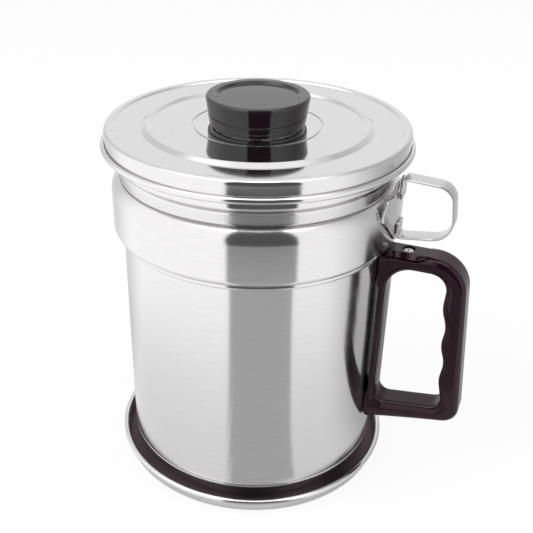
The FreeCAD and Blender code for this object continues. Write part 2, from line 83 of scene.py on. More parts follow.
class SaucerProps(PropertyGroup):
    radius: size("Rim radius", "Outer radius of the rolled rim", 72.0)
    height: size("Rim height", "Top of the rolled rim", 8.5)
    roll: size("Rim roll", "Radius of the rolled rim", 1.4)
    base: size("Base radius", "Outer radius where the floor turns up", 69.9)
    ring_height: size("Ring height", "Top of the pressed ring that carries the pot", 12.0)
    ring_foot: size("Ring inner foot", "Radius where the ring starts to rise", 42.0)
    ring_in: size("Ring inner crest", "Inner radius of the ring's crest", 46.5)
    ring_out: size("Ring outer crest", "Outer radius of the ring's crest", 53.0)
    ring_end: size("Ring outer foot", "Radius where the ring meets the floor", 57.5)
    ring_bend: size("Ring bend", "Bend radius at the ring's crest", 2.0)
    bend: size("Foot bend", "Bend radius at the wall's foot", 2.0)


class PotProps(PropertyGroup):
    radius: size("Wall radius", "Outer radius of the wall", 65.0)
    height: size("Height", "Foot ring to the top of the rolled rim", 118.4)
    roll: size("Rim roll", "Radius of the rolled rim", 1.4)
    bend: size("Foot bend", "Bend radius at the foot", 0.8)
    line: size("Foot line", "Foot to the fine line turned above it", 1.5)
    recess: size("Recess", "Bottom panel above the foot ring", 1.2)
    recess_play: size("Recess play", "Radial play of the recess round the saucer's ring", 1.2)


class VesselProps(PropertyGroup):
    nest_play: size("Nest play", "Radial play of the nested part in the pot's mouth", 0.8)
    nest_depth: size("Nest depth", "Depth of the nested part below the ledge", 18.0)
    nest_bend: size("Nest bend", "Bend radius at the floor's edge", 3.0)
    radius: size("Wide radius", "Outer radius of the wide wall", 69.6)
    wall: size("Wide wall", "Ledge to the start of the shoulder", 20.6)
    ledge_bend: size("Ledge bend", "Bend radius under the wide wall", 2.4)
    shoulder: size("Shoulder height", "Start of the shoulder's bend to its corner", 4.2)
    shoulder_bend: size("Shoulder bend", "Convex bend of the shoulder", 8.0)
    shoulder_rise: size("Shoulder rise", "Rise of the shoulder from its corner to the neck", 2.7)
    neck: size("Neck radius", "Outer radius of the neck", 65.0)
    neck_height: size("Neck height", "Shoulder to the swaged bead", 7.4)
    swage: size("Bead radius", "Outer radius of the swaged bead", 67.0)
    swage_rise: size("Bead underside", "Height of the bead's sloped underside", 2.4)
    swage_face: size("Bead face", "Height of the bead's upright face", 2.4)
    swage_lean: size("Bead lean", "How far the bead's face leans in, going up", 0.15)
    swage_slope: size("Bead slope", "Height of its sloped top", 1.6)
    collar: size("Collar radius", "Outer radius of the collar above the bead", 64.7)
    collar_height: size("Collar height", "Top of the slope to the middle of the lip", 6.9)
    lip: size("Lip roll", "Radius of the rolled lip", 1.2)
    hole: size("Drain hole", "Radius of a drain hole in the floor", 2.6)
    hole_pitch: size("Hole pitch", "Distance between the rings of drain holes", 14.0)


class StrainerProps(PropertyGroup):
    flange: size("Flange radius", "Outer radius of the flange that hangs on the lip", 68.2)
    play: size("Mouth play", "Radial play of the cup's mouth in the collar", 1.5)
    depth: size("Depth", "Flange to bottom", 38.0)
    taper: size("Taper", "How much narrower the cup is at its bottom", 4.2)
    bend: size("Bend", "Bend radius of the sheet", 1.5)
    lip: size("Bottom lip", "Width of the inward lip that carries the mesh", 13.0)
    margin: size("Mesh margin", "Mesh edge inside the cup's bottom corner", 3.0)
    ring: size("Clamp ring", "Width of the ring over the mesh edge", 7.0)
    pitch: size("Wire pitch", "Distance between the mesh wires", 1.8)
    wire: size("Wire", "Radius of a mesh wire", 0.2)


class LidProps(PropertyGroup):
    groove: size("Groove radius", "Radius of the pressed groove", 30.2)
    groove_width: size("Groove width", "Width of the pressed groove", 1.6)
    groove_depth: size("Groove depth", "Depth of the pressed groove", 0.4)
    ring_in: size("Ring inner foot", "Inner foot of the raised ring", 49.6)
    ring_out: size("Ring outer foot", "Outer foot of the raised ring", 54.4)
    ring_crest: size("Ring crest", "Radius of the raised ring's narrow crest", 51.5)
    ring_height: size("Ring height", "Height of the raised ring", 1.3)
    rise: size("Panel rise", "Rise of the outer panel from the ring to the ridge", 0.5)
    skirt: size("Skirt radius", "Outer radius at the top of the skirt", 71.8)
    ridge_width: size("Ridge width", "Width of the raised ridge along the rim", 4.4)
    ridge: size("Ridge height", "Height of that ridge", 1.2)
    ridge_inner: size("Ridge inner bend", "Bend radius at the ridge's inner edge", 1.2)
    ridge_outer: size("Ridge outer bend", "Bend radius at the ridge's outer edge", 1.5)
    hem: size("Hem radius", "Middle of the rolled hem", 72.15)
    hem_drop: size("Hem drop", "Panel to the middle of the hem", 7.05)
    hem_roll: size("Hem roll", "Radius of the rolled hem", 1.5)
    hole: size("Screw hole", "Radius of the hole for the knob's screw", 2.2)


class KnobProps(PropertyGroup):
    foot: size("Foot radius", "Radius of the foot on the lid", 21.6)
    foot_height: size("Foot height", "Height of the foot", 1.7)
    low: size("Lower radius", "Radius at the foot of the wall", 22.6)
    top: size("Top radius", "Radius at the top of the wall", 24.4)
    height: size("Height", "Foot to top", 14.3)
    edge: size("Edge rounding", "Rounding of the top edge", 1.3)
    dish: size("Dish radius", "Radius of the dish's floor", 18.1)
    dish_mouth: size("Dish mouth", "Radius of the dish's mouth", 19.7)
    dish_depth: size("Dish depth", "Depth of the dished top", 1.2)
    well: size("Insert well", "Radius of the well that holds the insert", 4.1)
    well_depth: size("Well depth", "Depth of that well", 8.1)


class HandleProps(PropertyGroup):
    width: size("Width", "Width across the handle", 15.0)
    rounding: size("Outer rounding", "Rounding of the outer edges", 3.0)
    hole_rounding: size("Hole rounding", "Rounding of the finger hole's edges", 2.0)
    drop: size("Drop", "Handle's top below the vessel's ledge", 1.0)
    top_reach: size("Top reach", "Pot wall to the outer top corner", 40.3)
    low_reach: size("Low reach", "Pot wall to the outer bottom corner", 47.05)
    height: size("Height", "Top to the outer bottom corner", 87.4)
    root_drop: size("Root drop", "How far the lower arm falls toward the pot", 9.8)
    arm: size("Upper arm", "Thickness of the upper arm", 7.6)
    low_arm_root: size("Lower arm root", "Thickness of the lower arm at its root", 10.4)
    low_arm_end: size("Lower arm end", "Thickness of the lower arm at its end", 5.4)
    spine: size("Spine", "Thickness of the spine along the pot", 3.4)
    gap: size("Spine gap", "Gap between the spine and the pot wall", 1.0)
    gap_from_top: size("Gap start", "Where the gap starts, from the top", 17.6)
    gap_from_root: size("Gap end", "Where the gap ends, from the root", 15.5)
    grip: size("Grip bar", "Mean thickness of the grip bar", 9.3)
    wave: size("Finger wave", "Finger waves, either side of the mean", 1.2)
    pitch: size("Finger pitch", "Width of one finger place", 19.6)
    rib_height: size("Rib height", "Height of the rib above the side ledges", 2.8)
    rib_width: size("Rib width", "Width of the rib along the upper arm", 9.0)
    rib_end: size("Ledge end", "Pot wall to the rounded end of the ledges", 26.0)
    screw_reach: size("Screw reach", "Pot wall to the screw's axis", 12.0)
    sink: size("Sink radius", "Radius of the sink round the screw's head", 3.0)
    sink_depth: size("Sink depth", "Depth of that sink", 1.8)


class StrapProps(PropertyGroup):
    plate: size("Plate", "Thickness of the plate", 1.0)
    plate_low: size("Plate low", "Plate's tip above the ledge, before it is rounded", 0.6)
    plate_high: size("Plate high", "Plate's upper edge above its tip", 28.1)
    plate_wide: size("Plate wide", "Widest level above the tip", 21.0)
    plate_width: size("Plate width", "Greatest width before rounding", 45.0)
    plate_top: size("Plate top", "Width across the upper edge before rounding", 33.2)
    plate_tip: size("Tip rounding", "Rounding of the plate's tip", 8.0)
    plate_side: size("Side rounding", "Rounding of the plate's sides", 5.5)
    plate_corner: size("Corner rounding", "Rounding of the plate's upper corners", 4.0)
    tab_width: size("Tab width", "Width of the tab that rises behind the strap", 9.4)
    tab_height: size("Tab height", "Height of that tab", 4.8)
    tab_root: size("Tab root", "Rounding at the tab's root", 1.5)
    width: size("Strap width", "Width of the strip", 8.8)
    thickness: size("Strap thickness", "Thickness of the strip", 1.0)
    reach_high: size("Upper reach", "Wide wall to the strap's outer face, above", 24.9)
    reach_low: size("Lower reach", "Wide wall to the strap's outer face, below", 27.4)
    rise: size("Strap rise", "Strap's root above the tab", 1.5)
    height: size("Strap height", "Height of the loop at its root over its outer faces", 30.1)
    fall: size("Upper fall", "Fall of the upper strand, outward", 1.3)
    climb: size("Lower climb", "Rise of the lower strand, outward", 3.3)
    bend_high: size("Upper bend", "Bend radius at the upper outer corner", 7.8)
    bend_low: size("Lower bend", "Bend radius at the lower outer corner", 9.6)
    foot_bend: size("Foot bend", "Bend radius at the feet", 1.6)
    foot_high: size("Upper foot", "Length of the upper foot on the plate", 9.5)
    foot_low: size("Lower foot", "Length of the lower foot on the plate", 7.2)


class FinishProps(PropertyGroup):
    steel: colour("Steel", "Colour of the stainless sheet", (0.70, 0.69, 0.69))
    # painted shade: this darker colour on the saucer's inside stands in for the shade in the
    # channel round the pot
    inside_shade: colour("Inner_shade steel", "Colour of the saucer's shade_painted inside", (0.2, 0.15, 0.17))
    steel_roughness: share("Satin roughness", "Roughness of the turned satin finish", 0.15)
    steel_anisotropy: share("Anisotropy", "How far the hairlines stretch a highlight", 0.9)
    neck_roughness: share("Neck roughness", "Roughness of the vessel's neck", 0.28)
    lid_roughness: share("Lid roughness", "Roughness of the lid's polished panels", 0.06)
    plain_roughness: share("Strap roughness", "Roughness of the plain rolled strip", 0.15)
    black: colour("Black", "Colour of the moulded black pieces", (0.013, 0.003, 0.008))
    black_roughness: share("Gloss", "Roughness of the moulded black pieces", 0.05)
    brass: colour("Brass", "Colour of the threaded insert", (0.78, 0.60, 0.28))


class StageProps(PropertyGroup):
    floor: colour("Floor", "Colour of the floor", (0.9, 0.9, 0.9))
    azimuth: FloatProperty(name="Azimuth", description="Camera's turn round the pot from -Y",
                           default=math.radians(21.0), subtype="ANGLE")
    distance: size("Distance", "Camera's distance from the pot's axis", 385.56)
    height: size("Camera height", "Camera's height above the floor", 313.23)
    pitch: FloatProperty(name="Pitch", description="Camera's downward tilt",
                         default=math.radians(30.904), subtype="ANGLE")
    yaw: FloatProperty(name="Yaw", description="Camera's turn off the pot's axis",
                       default=math.radians(2.254), subtype="ANGLE")


# ---- surface helpers --------------------------------------------------------

def unit(v):
    return v / np.linalg.norm(v)


def bent_path(points, steps=8, support=0.3 * MM, closed=False):
    """Dense line through (x, z, bend): each corner becomes an arc tangent to both its sides,
    its centre on the bisector at bend / sin(half the corner's angle). A support point just
    beyond each end of an arc keeps the flats flat under smooth shading."""
    at = np.array([p[:2] for p in points], float)
    bends = [p[2] for p in points]
    count = len(points)
    runs = []
    for i in range(count):
        inner = closed or 0 < i < count - 1
        if not inner or bends[i] <= 0:
            runs.append(at[i][None])
            continue
        to_a = unit(at[i - 1] - at[i])
        to_c = unit(at[(i + 1) % count] - at[i])
        half = math.acos(float(np.clip(to_a @ to_c, -1, 1))) / 2
        cut = bends[i] / math.tan(half)
        centre = at[i] + unit(to_a + to_c) * bends[i] / math.sin(half)
        start = at[i] + to_a * cut - centre
        sweep = (math.pi - 2 * half) * np.sign(np.cross(start, at[i] + to_c * cut - centre))
        angle = np.linspace(0, sweep, steps + 1)[:, None]
        side = np.array([-start[1], start[0]])
        arc = centre + np.cos(angle) * start + np.sin(angle) * side
        runs.append(np.vstack([arc[:1] + to_a * support, arc, arc[-1:] + to_c * support]))
    line = np.vstack(runs)
    keep = np.ones(len(line), bool)
    keep[1:] = np.linalg.norm(np.diff(line, axis=0), axis=1) > 1e-7
    return line[keep]


def normals_2d(line):
    """Left-hand unit normals of a dense line, from the mean of its two directions."""
    step = np.diff(line, axis=0)
    step /= np.linalg.norm(step, axis=1)[:, None]
    before = np.vstack([step[:1], step])
    after = np.vstack([step, step[-1:]])
    mean = before + after
    mean /= np.linalg.norm(mean, axis=1)[:, None]
    stretch = 1 / np.maximum((mean * after).sum(axis=1), 0.5)
    return np.stack([-mean[:, 1], mean[:, 0]], 1) * stretch[:, None]


def curl(line, radius, sweep, left=False, steps=22):
    """Carries the line on round a circle of the given radius, tangent to its end."""
    heading = unit(line[-1] - line[-2])
    side = np.array([-heading[1], heading[0]]) * (1 if left else -1)
    angle = np.linspace(0, math.radians(sweep), steps + 1)[1:, None]
    arc = line[-1] + radius * (np.sin(angle) * heading + (1 - np.cos(angle)) * side)
    return np.vstack([line, arc])


def sheet_section(line, thickness):
    """Closed section of a sheet: its centre line moved half the thickness to each side,
    out along the right side and back along the left."""
    offset = normals_2d(line) * thickness / 2
    return np.vstack([line - offset, (line + offset)[::-1]])


def grid_quads(rows, around, closed_rows=False, turned=False):
    """Quads between the neighbours of a grid whose columns close into rings. Its rows close
    too when asked, and turned quads face the other way."""
    i = np.arange(rows if closed_rows else rows - 1)[:, None]
    j = np.arange(around)[None]
    follow, aside = (i + 1) % rows, (j + 1) % around
    quads = np.stack([i * around + j, i * around + aside, follow * around + aside,
                      follow * around + j], -1).reshape(-1, 4)
    return quads[:, [0, 3, 2, 1]] if turned else quads


def turned_mesh(name, section, segments, poles=True):
    """Surface of revolution: section(t) carried round the upright axis, so a point is
    (r cos a, r sin a, z). With poles, the section's two ends lie on the axis."""
    section = np.asarray(section, float)
    if poles:
        bottom, top = section[0], section[-1]
        section = section[1:-1]
    rows = len(section)
    angle = np.linspace(0, 2 * math.pi, segments, endpoint=False)
    r, z = section[:, 0][:, None], section[:, 1][:, None]
    grid = np.stack([r * np.cos(angle), r * np.sin(angle), z + 0 * angle], -1).reshape(-1, 3)
    faces = grid_quads(rows, segments, closed_rows=not poles).tolist()
    if poles:
        count = len(grid)
        grid = np.vstack([grid, [[0, 0, bottom[1]], [0, 0, top[1]]]])
        ring = np.arange(segments)
        aside = (ring + 1) % segments
        last = (rows - 1) * segments
        faces += np.stack([0 * ring + count, aside, ring], 1).tolist()
        faces += np.stack([0 * ring + count + 1, last + ring, last + aside], 1).tolist()
    return mesh_object(name, grid, faces)


def mesh_object(name, points, faces, smooth=True):
    mesh = bpy.data.meshes.new(name)
    mesh.from_pydata(np.asarray(points).tolist(), [], faces)
    mesh.validate()
    mesh.shade_smooth() if smooth else mesh.shade_flat()
    piece = bpy.data.objects.new(name, mesh)
    bpy.context.scene.collection.objects.link(piece)
    return piece


def read_vertices(piece, what):
    """One row of three numbers for each vertex: its place, co, or its normal."""
    held = np.empty(len(piece.data.vertices) * 3)
    piece.data.vertices.foreach_get(what, held)
    return held.reshape(-1, 3)


def tube_mesh(name, grid, closed_run=False):
    """Closed skin over grid[s, v]: a closed section v carried along s, its ends capped unless
    the run s is itself closed."""
    runs, around = grid.shape[:2]
    faces = grid_quads(runs, around, closed_run, turned=True).tolist()
    if not closed_run:
        ring = np.arange(around)
        faces += [ring.tolist(), ((runs - 1) * around + ring[::-1]).tolist()]
    return mesh_object(name, grid.reshape(-1, 3), faces)


def smooth_step(x):
    x = np.clip(x, 0, 1)
    return x * x * (3 - 2 * x)


def settings():
    return bpy.context.scene.strainer_pot


def finish_piece(piece, material, body, slot, *nodes):
    """Gives the piece its material and hands it to the frame."""
    piece.data.materials.clear()
    piece.data.materials.append(material)
    if nodes:
        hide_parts(*nodes)
    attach(piece, body)


# ---- materials --------------------------------------------------------------

def node_tree(name):
    material = bpy.data.materials.new(name)
    material.use_nodes = True
    tree = material.node_tree
    shader = tree.nodes["Principled BSDF"]
    return material, tree, shader


def math_node(tree, operation, a, b=None):
    node = tree.nodes.new("ShaderNodeMath")
    node.operation = operation
    for socket, value in zip(node.inputs, (a, b)):
        if value is None:
            continue
        if isinstance(value, (int, float)):
            socket.default_value = value
        else:
            tree.links.new(value, socket)
    return node.outputs[0]


def object_place(tree):
    return tree.nodes.new("ShaderNodeTexCoord").outputs["Object"]


def mixed(tree, share_of_b, a, b):
    """The value a, giving way to the number b."""
    mix = tree.nodes.new("ShaderNodeMix")
    tree.links.new(share_of_b, mix.inputs[0])
    tree.links.new(a, mix.inputs[2])
    mix.inputs[3].default_value = b
    return mix.outputs[0]


def hairline_vector(tree, across, along):
    """Coordinates that follow turned hairlines: the unit direction from the axis, which
    changes slowly along a line, and radius plus height, which changes fast across lines."""
    place = object_place(tree)
    split = tree.nodes.new("ShaderNodeSeparateXYZ")
    tree.links.new(place, split.inputs[0])
    x, y, z = split.outputs
    radius = math_node(tree, "SQRT", math_node(tree, "ADD", math_node(tree, "MULTIPLY", x, x),
                                               math_node(tree, "MULTIPLY", y, y)))
    safe = math_node(tree, "MAXIMUM", radius, MM)
    join = tree.nodes.new("ShaderNodeCombineXYZ")
    tree.links.new(math_node(tree, "MULTIPLY", math_node(tree, "DIVIDE", x, safe), along),
                   join.inputs[0])
    tree.links.new(math_node(tree, "MULTIPLY", math_node(tree, "DIVIDE", y, safe), along),
                   join.inputs[1])
    level = math_node(tree, "SUBTRACT", z, radius)
    tree.links.new(math_node(tree, "MULTIPLY", level, across), join.inputs[2])
    return join.outputs[0]


def noise(tree, vector, scale, detail=3.0):
    node = tree.nodes.new("ShaderNodeTexNoise")
    node.inputs["Scale"].default_value = scale
    node.inputs["Detail"].default_value = detail
    tree.links.new(vector, node.inputs["Vector"])
    return node.outputs["Fac"]


def spread(tree, value, low, high):
    """Maps 0..1 to low..high."""
    node = tree.nodes.new("ShaderNodeMapRange")
    node.inputs["To Min"].default_value = low
    node.inputs["To Max"].default_value = high
    tree.links.new(value, node.inputs["Value"])
    return node.outputs[0]


def tint(tree, value, rgb, depth):
    """Colour that wavers by depth either side of rgb."""
    ramp = tree.nodes.new("ShaderNodeValToRGB")
    ramp.color_ramp.elements[0].position = 0.3
    ramp.color_ramp.elements[1].position = 0.7
    ramp.color_ramp.elements[0].color = [c * (1 - depth) for c in rgb] + [1]
    ramp.color_ramp.elements[1].color = [min(c * (1 + depth), 1.0) for c in rgb] + [1]
    tree.links.new(value, ramp.inputs[0])
    return ramp.outputs[0]


def relief(tree, shader, height, depth):
    bump = tree.nodes.new("ShaderNodeBump")
    bump.inputs["Strength"].default_value = 1.0
    bump.inputs["Distance"].default_value = depth
    tree.links.new(height, bump.inputs["Height"])
    tree.links.new(bump.outputs[0], shader.inputs["Normal"])


def turned_steel(name, roughness, anisotropy, depth, zones=(), inside_shade=None):
    """Satin stainless whose hairlines run round the axis and blur a reflection across them,
    with optional zones, each (height it starts at, blend, roughness), and an optional painted
    shade: a darker colour and a rougher surface where the mesh's attribute inside is 1."""
    look = settings().finish
    material, tree, shader = node_tree(name)
    shader.inputs["Metallic"].default_value = 1.0
    shader.inputs["Anisotropic"].default_value = anisotropy
    shader.inputs["Anisotropic Rotation"].default_value = 0.25
    around = tree.nodes.new("ShaderNodeTangent")
    around.direction_type = "RADIAL"
    around.axis = "Z"
    tree.links.new(around.outputs[0], shader.inputs["Tangent"])
    lines = noise(tree, hairline_vector(tree, 1.0, 0.004), LINES, 4.0)
    bands = noise(tree, hairline_vector(tree, 1.0, 0.02), BANDS, 2.0)
    paint = tint(tree, lines, look.steel, 0.03)
    # painted shade: where the attribute inside is 1, the colour gives way to the darker shade
    # colour
    if inside_shade:
        where = tree.nodes.new("ShaderNodeAttribute")
        where.attribute_name = "inside"
        mix = tree.nodes.new("ShaderNodeMix")
        mix.data_type = "RGBA"
        tree.links.new(where.outputs["Fac"], mix.inputs[0])
        tree.links.new(paint, mix.inputs[6])
        mix.inputs[7].default_value = (*inside_shade, 1.0)
        paint = mix.outputs[2]
    tree.links.new(paint, shader.inputs["Base Color"])
    rough = spread(tree, bands, roughness * 0.85, roughness * 1.15)
    # the same painted-shade zone is also made rougher
    if inside_shade:
        rough = mixed(tree, where.outputs["Fac"], rough, INSIDE_ROUGHNESS)
    for zone in zones:
        rough = above(tree, rough, *zone)
    tree.links.new(rough, shader.inputs["Roughness"])
    relief(tree, shader, lines, depth)
    return material


def above(tree, value, height, blend, inside):
    """The value, giving way to inside over the blend above a height."""
    split = tree.nodes.new("ShaderNodeSeparateXYZ")
    tree.links.new(object_place(tree), split.inputs[0])
    share_above = tree.nodes.new("ShaderNodeMapRange")
    tree.links.new(split.outputs[2], share_above.inputs["Value"])
    share_above.inputs["From Min"].default_value = height
    share_above.inputs["From Max"].default_value = height + blend
    return mixed(tree, share_above.outputs[0], value, inside)


def rolled_steel(name, roughness, shade=1.0):
    """Plain bright sheet with faint rolling grain."""
    look = settings().finish
    paint = [c * shade for c in look.steel]
    material, tree, shader = node_tree(name)
    shader.inputs["Metallic"].default_value = 1.0
    place = object_place(tree)
    stretch = tree.nodes.new("ShaderNodeMapping")
    stretch.inputs["Scale"].default_value = (1.0, 12.0, 1.0)
    tree.links.new(place, stretch.inputs[0])
    grain = noise(tree, stretch.outputs[0], 900.0)
    tree.links.new(tint(tree, grain, paint, 0.04), shader.inputs["Base Color"])
    tree.links.new(spread(tree, grain, roughness * 0.8, roughness * 1.2),
                   shader.inputs["Roughness"])
    relief(tree, shader, grain, 0.004 * MM)
    return material


def moulded_black(name, ior, sheen):
    """Gloss black moulding with the faint ripple of a moulded skin."""
    look = settings().finish
    material, tree, shader = node_tree(name)
    shader.inputs["IOR"].default_value = ior
    shader.inputs["Specular Tint"].default_value = (*sheen, 1.0)
    place = object_place(tree)
    ripple = noise(tree, place, 160.0, 2.0)
    tree.links.new(tint(tree, ripple, look.black, 0.3), shader.inputs["Base Color"])
    tree.links.new(spread(tree, noise(tree, place, 420.0), look.black_roughness * 0.7,
                          look.black_roughness * 1.3), shader.inputs["Roughness"])
    relief(tree, shader, ripple, 0.02 * MM)
    return material


def turned_brass(name):
    look = settings().finish
    material, tree, shader = node_tree(name)
    shader.inputs["Metallic"].default_value = 1.0
    lines = noise(tree, hairline_vector(tree, 1.0, 0.01), 3000.0)
    tree.links.new(tint(tree, lines, look.brass, 0.08), shader.inputs["Base Color"])
    tree.links.new(spread(tree, lines, 0.2, 0.4), shader.inputs["Roughness"])
    relief(tree, shader, lines, 0.01 * MM)
    return material


def made_material(name):
    """The scene's material of that name, made on first use."""
    found = bpy.data.materials.get(name)
    if found:
        return found
    look, at = settings().finish, levels()
    neck = ((at["shoulder"] + 2 * MM, 1.5 * MM, look.neck_roughness),
            (at["swage"] - 1 * MM, 1 * MM, 0.8 * look.steel_roughness))
    panels = ((at["lid"] - 0.2 * MM, 0.8 * MM, look.lid_roughness),)
    satin = (look.steel_roughness, look.steel_anisotropy, HAIRLINE)
    makers = {
        "satin_steel": lambda n: turned_steel(n, *satin),
        # the saucer's steel, with painted shade on its inside
        "saucer_steel": lambda n: turned_steel(n, *satin, inside_shade=look.inside_shade),
        "vessel_steel": lambda n: turned_steel(n, *satin, neck),
        "lid_steel": lambda n: turned_steel(n, roughness=0.14, anisotropy=0.8,
                                            depth=0.75 * HAIRLINE, zones=panels),
        "strip_steel": lambda n: rolled_steel(n, look.plain_roughness, shade=0.9),
        "wire_steel": lambda n: rolled_steel(n, roughness=0.3),
        "screw_steel": lambda n: rolled_steel(n, roughness=0.14),
        "handle_black": lambda n: moulded_black(n, ior=1.4, sheen=(1.0, 0.74, 0.8)),
        "knob_black": lambda n: moulded_black(n, ior=1.62, sheen=(0.86, 1.0, 0.92)),
        "turned_brass": turned_brass,
    }
    return makers[name](name)


# ---- levels shared by the pieces --------------------------------------------

def levels():
    """Heights and radii worked out from the sizes, in metres."""
    s = settings()
    half = s.sheet.thickness / 2
    at = {"half": half}
    at["pot_foot"] = s.saucer.ring_height + s.sheet.seat - s.pot.recess
    at["pot_top"] = at["pot_foot"] + s.pot.height
    at["ledge"] = at["pot_top"] + s.sheet.seat
    at["shoulder"] = at["ledge"] + s.vessel.wall + s.vessel.shoulder + half
    at["swage"] = at["shoulder"] + s.vessel.neck_height
    at["collar"] = at["swage"] + s.vessel.swage_rise + s.vessel.swage_face + s.vessel.swage_slope
    at["lip"] = at["collar"] + s.vessel.collar_height
    at["cup"] = at["lip"] + s.vessel.lip + s.sheet.seat
    at["lid"] = at["cup"] + s.sheet.thickness + s.sheet.seat
    at["knob"] = at["lid"] + s.sheet.thickness + WELD
    at["handle"] = at["ledge"] - s.handle.drop
    at["mouth"] = s.vessel.collar - s.sheet.thickness - s.strainer.play
    at["cup_bottom"] = at["cup"] - s.strainer.depth
    at["cup_low"] = at["mouth"] - s.strainer.taper
    return at


def shell(name, line, poles=False, flip=False):
    """Turned sheet shell along a centre line. With poles it is closed at the axis, and flip
    turns the section of a line that runs with its outer side on the left."""
    s = settings()
    section = sheet_section(line, s.sheet.thickness)
    return turned_mesh(name, section[::-1] if flip else section, s.sheet.turns, poles)


# ---- pieces -----------------------------------------------------------------

def mark_inside(piece, limit):
    """Vertex attribute inside: 1 where the surface faces up or toward the axis, below limit
    or within the seat ring. It marks where the saucer's painted shade goes."""
    seat, least_up, least_inward = 60 * MM, 0.2, 0.5
    x, y, z = read_vertices(piece, "co").T
    nx, ny, nz = read_vertices(piece, "normal").T
    radius = np.hypot(x, y)
    inward = -(nx * x + ny * y) / np.maximum(radius, 1e-6)
    inside = ((nz > least_up) | (inward > least_inward)) & ((z < limit) | (radius < seat))
    mark = piece.data.attributes.new("inside", "FLOAT", "POINT")
    mark.data.foreach_set("value", inside.astype(float))


class POT_OT_saucer(Operator):
    """Saucer: floor, pressed seat ring, flared wall and a rim rolled outward"""
    bl_idname = "strainer_pot.saucer"
    bl_label = "Saucer"

    def execute(self, context):
        s, at = settings(), levels()
        p, half = s.saucer, at["half"]
        crest = p.ring_height - half
        rim_r, rim_z = p.radius - p.roll, p.height - p.roll
        points = [(0, half, 0), (p.ring_foot, half, s.sheet.fold),
                  (p.ring_in, crest, p.ring_bend), (p.ring_out, crest, p.ring_bend),
                  (p.ring_end, half, s.sheet.fold),
                  (p.base - half, half, p.bend), (rim_r - p.roll + half, rim_z, 0)]
        line = curl(bent_path(points), p.roll - half, 290)
        piece = shell("saucer_sheet", line, poles=True)
        # mask for the painted shade on the saucer's inside
        mark_inside(piece, p.height - 1.5 * MM)
        finish_piece(piece, made_material("saucer_steel"), "saucer", "steel_satin", "saucer")
        return {"FINISHED"}


class POT_OT_pot(Operator):
    """Pot: recessed bottom panel, foot ring, straight wall and a rim rolled outward"""
    bl_idname = "strainer_pot.pot"
    bl_label = "Pot"

    def execute(self, context):
        s, at = settings(), levels()
        p, half = s.pot, at["half"]
        foot = at["pot_foot"] + half
        step = s.saucer.ring_out + p.recess_play
        wall = p.radius - half
        rim_z = at["pot_top"] - p.roll
        near_line = foot + p.line + np.linspace(-0.6, 0.6, 13) * MM
        depth, spread_out = 0.2 * MM, 0.25 * MM
        dent = wall - depth * np.exp(-((near_line - foot - p.line) / spread_out) ** 2)
        points = [(0, foot + p.recess, 0), (step, foot + p.recess, 0.5 * MM),
                  (step + p.recess, foot, 0.5 * MM), (wall, foot, p.bend),
                  *[(r, z, 0) for r, z in zip(dent, near_line)], (wall, rim_z, 0)]
        piece = shell("pot_sheet", curl(bent_path(points), p.roll - half, 300), poles=True)
        finish_piece(piece, made_material("satin_steel"), "pot", "steel_satin", "pot_shell")
        return {"FINISHED"}


def drained_floor(name, radius, low, high, hole, pitch):
    """Flat disc with rings of round holes: ring n has 6 n holes at n times the pitch. Each
    outline is (r cos a, r sin a); they are filled between and given the sheet's thickness."""
    def outline(x, y, r, count):
        angle = np.linspace(0, 2 * math.pi, count, endpoint=False)
        return np.stack([x + r * np.cos(angle), y + r * np.sin(angle)], 1)

    loops = [outline(0, 0, radius, 288), outline(0, 0, hole, 24)]
    for n in range(1, 4):
        for k in range(6 * n):
            turn = 2 * math.pi * k / (6 * n)
            loops.append(outline(n * pitch * math.cos(turn), n * pitch * math.sin(turn),
                                 hole, 24))
    curve = bpy.data.curves.new(name, "CURVE")
    curve.dimensions = "2D"
    curve.fill_mode = "BOTH"
    curve.extrude = (high - low) / 2
    for loop in loops:
        spline = curve.splines.new("POLY")
        spline.points.add(len(loop) - 1)
        flat = np.hstack([loop, np.zeros((len(loop), 1)), np.ones((len(loop), 1))])
        spline.points.foreach_set("co", flat.ravel())
        spline.use_cyclic_u = True
    holder = bpy.data.objects.new(name, curve)
    mesh = bpy.data.meshes.new_from_object(holder)
    mesh.name = name
    mesh.transform(Matrix.Translation((0, 0, (low + high) / 2)))
    bpy.data.objects.remove(holder)
    mesh.shade_flat()
    piece = bpy.data.objects.new(name, mesh)
    bpy.context.scene.collection.objects.link(piece)
    return piece


class POT_OT_vessel(Operator):
    """Vessel: nested part, wide wall, shoulder, neck, swaged bead, collar and rolled lip"""
    bl_idname = "strainer_pot.vessel"
    bl_label = "Strainer vessel"

    def execute(self, context):
        s, at = settings(), levels()
        p, half = s.vessel, at["half"]
        nest = s.pot.radius - s.sheet.thickness - p.nest_play - half
        floor = at["ledge"] - p.nest_depth + half
        wide, neck = p.radius - half, p.neck - half
        shoulder, swage = at["shoulder"] - half, at["swage"] + half
        bead, collar = p.swage - half, p.collar - half
        edge = 3.6 * p.hole_pitch
        points = [(edge, floor, 0), (nest, floor, p.nest_bend),
                  (nest, at["ledge"] + half, 0.6 * MM), (wide, at["ledge"] + half, p.ledge_bend),
                  (wide, shoulder, p.shoulder_bend),
                  (neck, shoulder + p.shoulder_rise, 0.9 * MM), (neck, swage, 1.0 * MM),
                  (bead, swage + p.swage_rise, 2.0 * MM),
                  (bead - p.swage_lean, swage + p.swage_rise + p.swage_face, 0.6 * MM),
                  (collar, at["collar"], 0.6 * MM), (collar, at["lip"], 0)]
        line = curl(bent_path(points), p.lip - half, 300)
        piece = shell("vessel_sheet", line)
        floor_piece = drained_floor("vessel_floor", edge, floor - half, floor + half,
                                    p.hole, p.hole_pitch)
        steel = made_material("vessel_steel")
        finish_piece(piece, steel, "vessel", "steel_satin", "vessel_shell")
        finish_piece(floor_piece, steel, "vessel", "steel_satin")
        return {"FINISHED"}


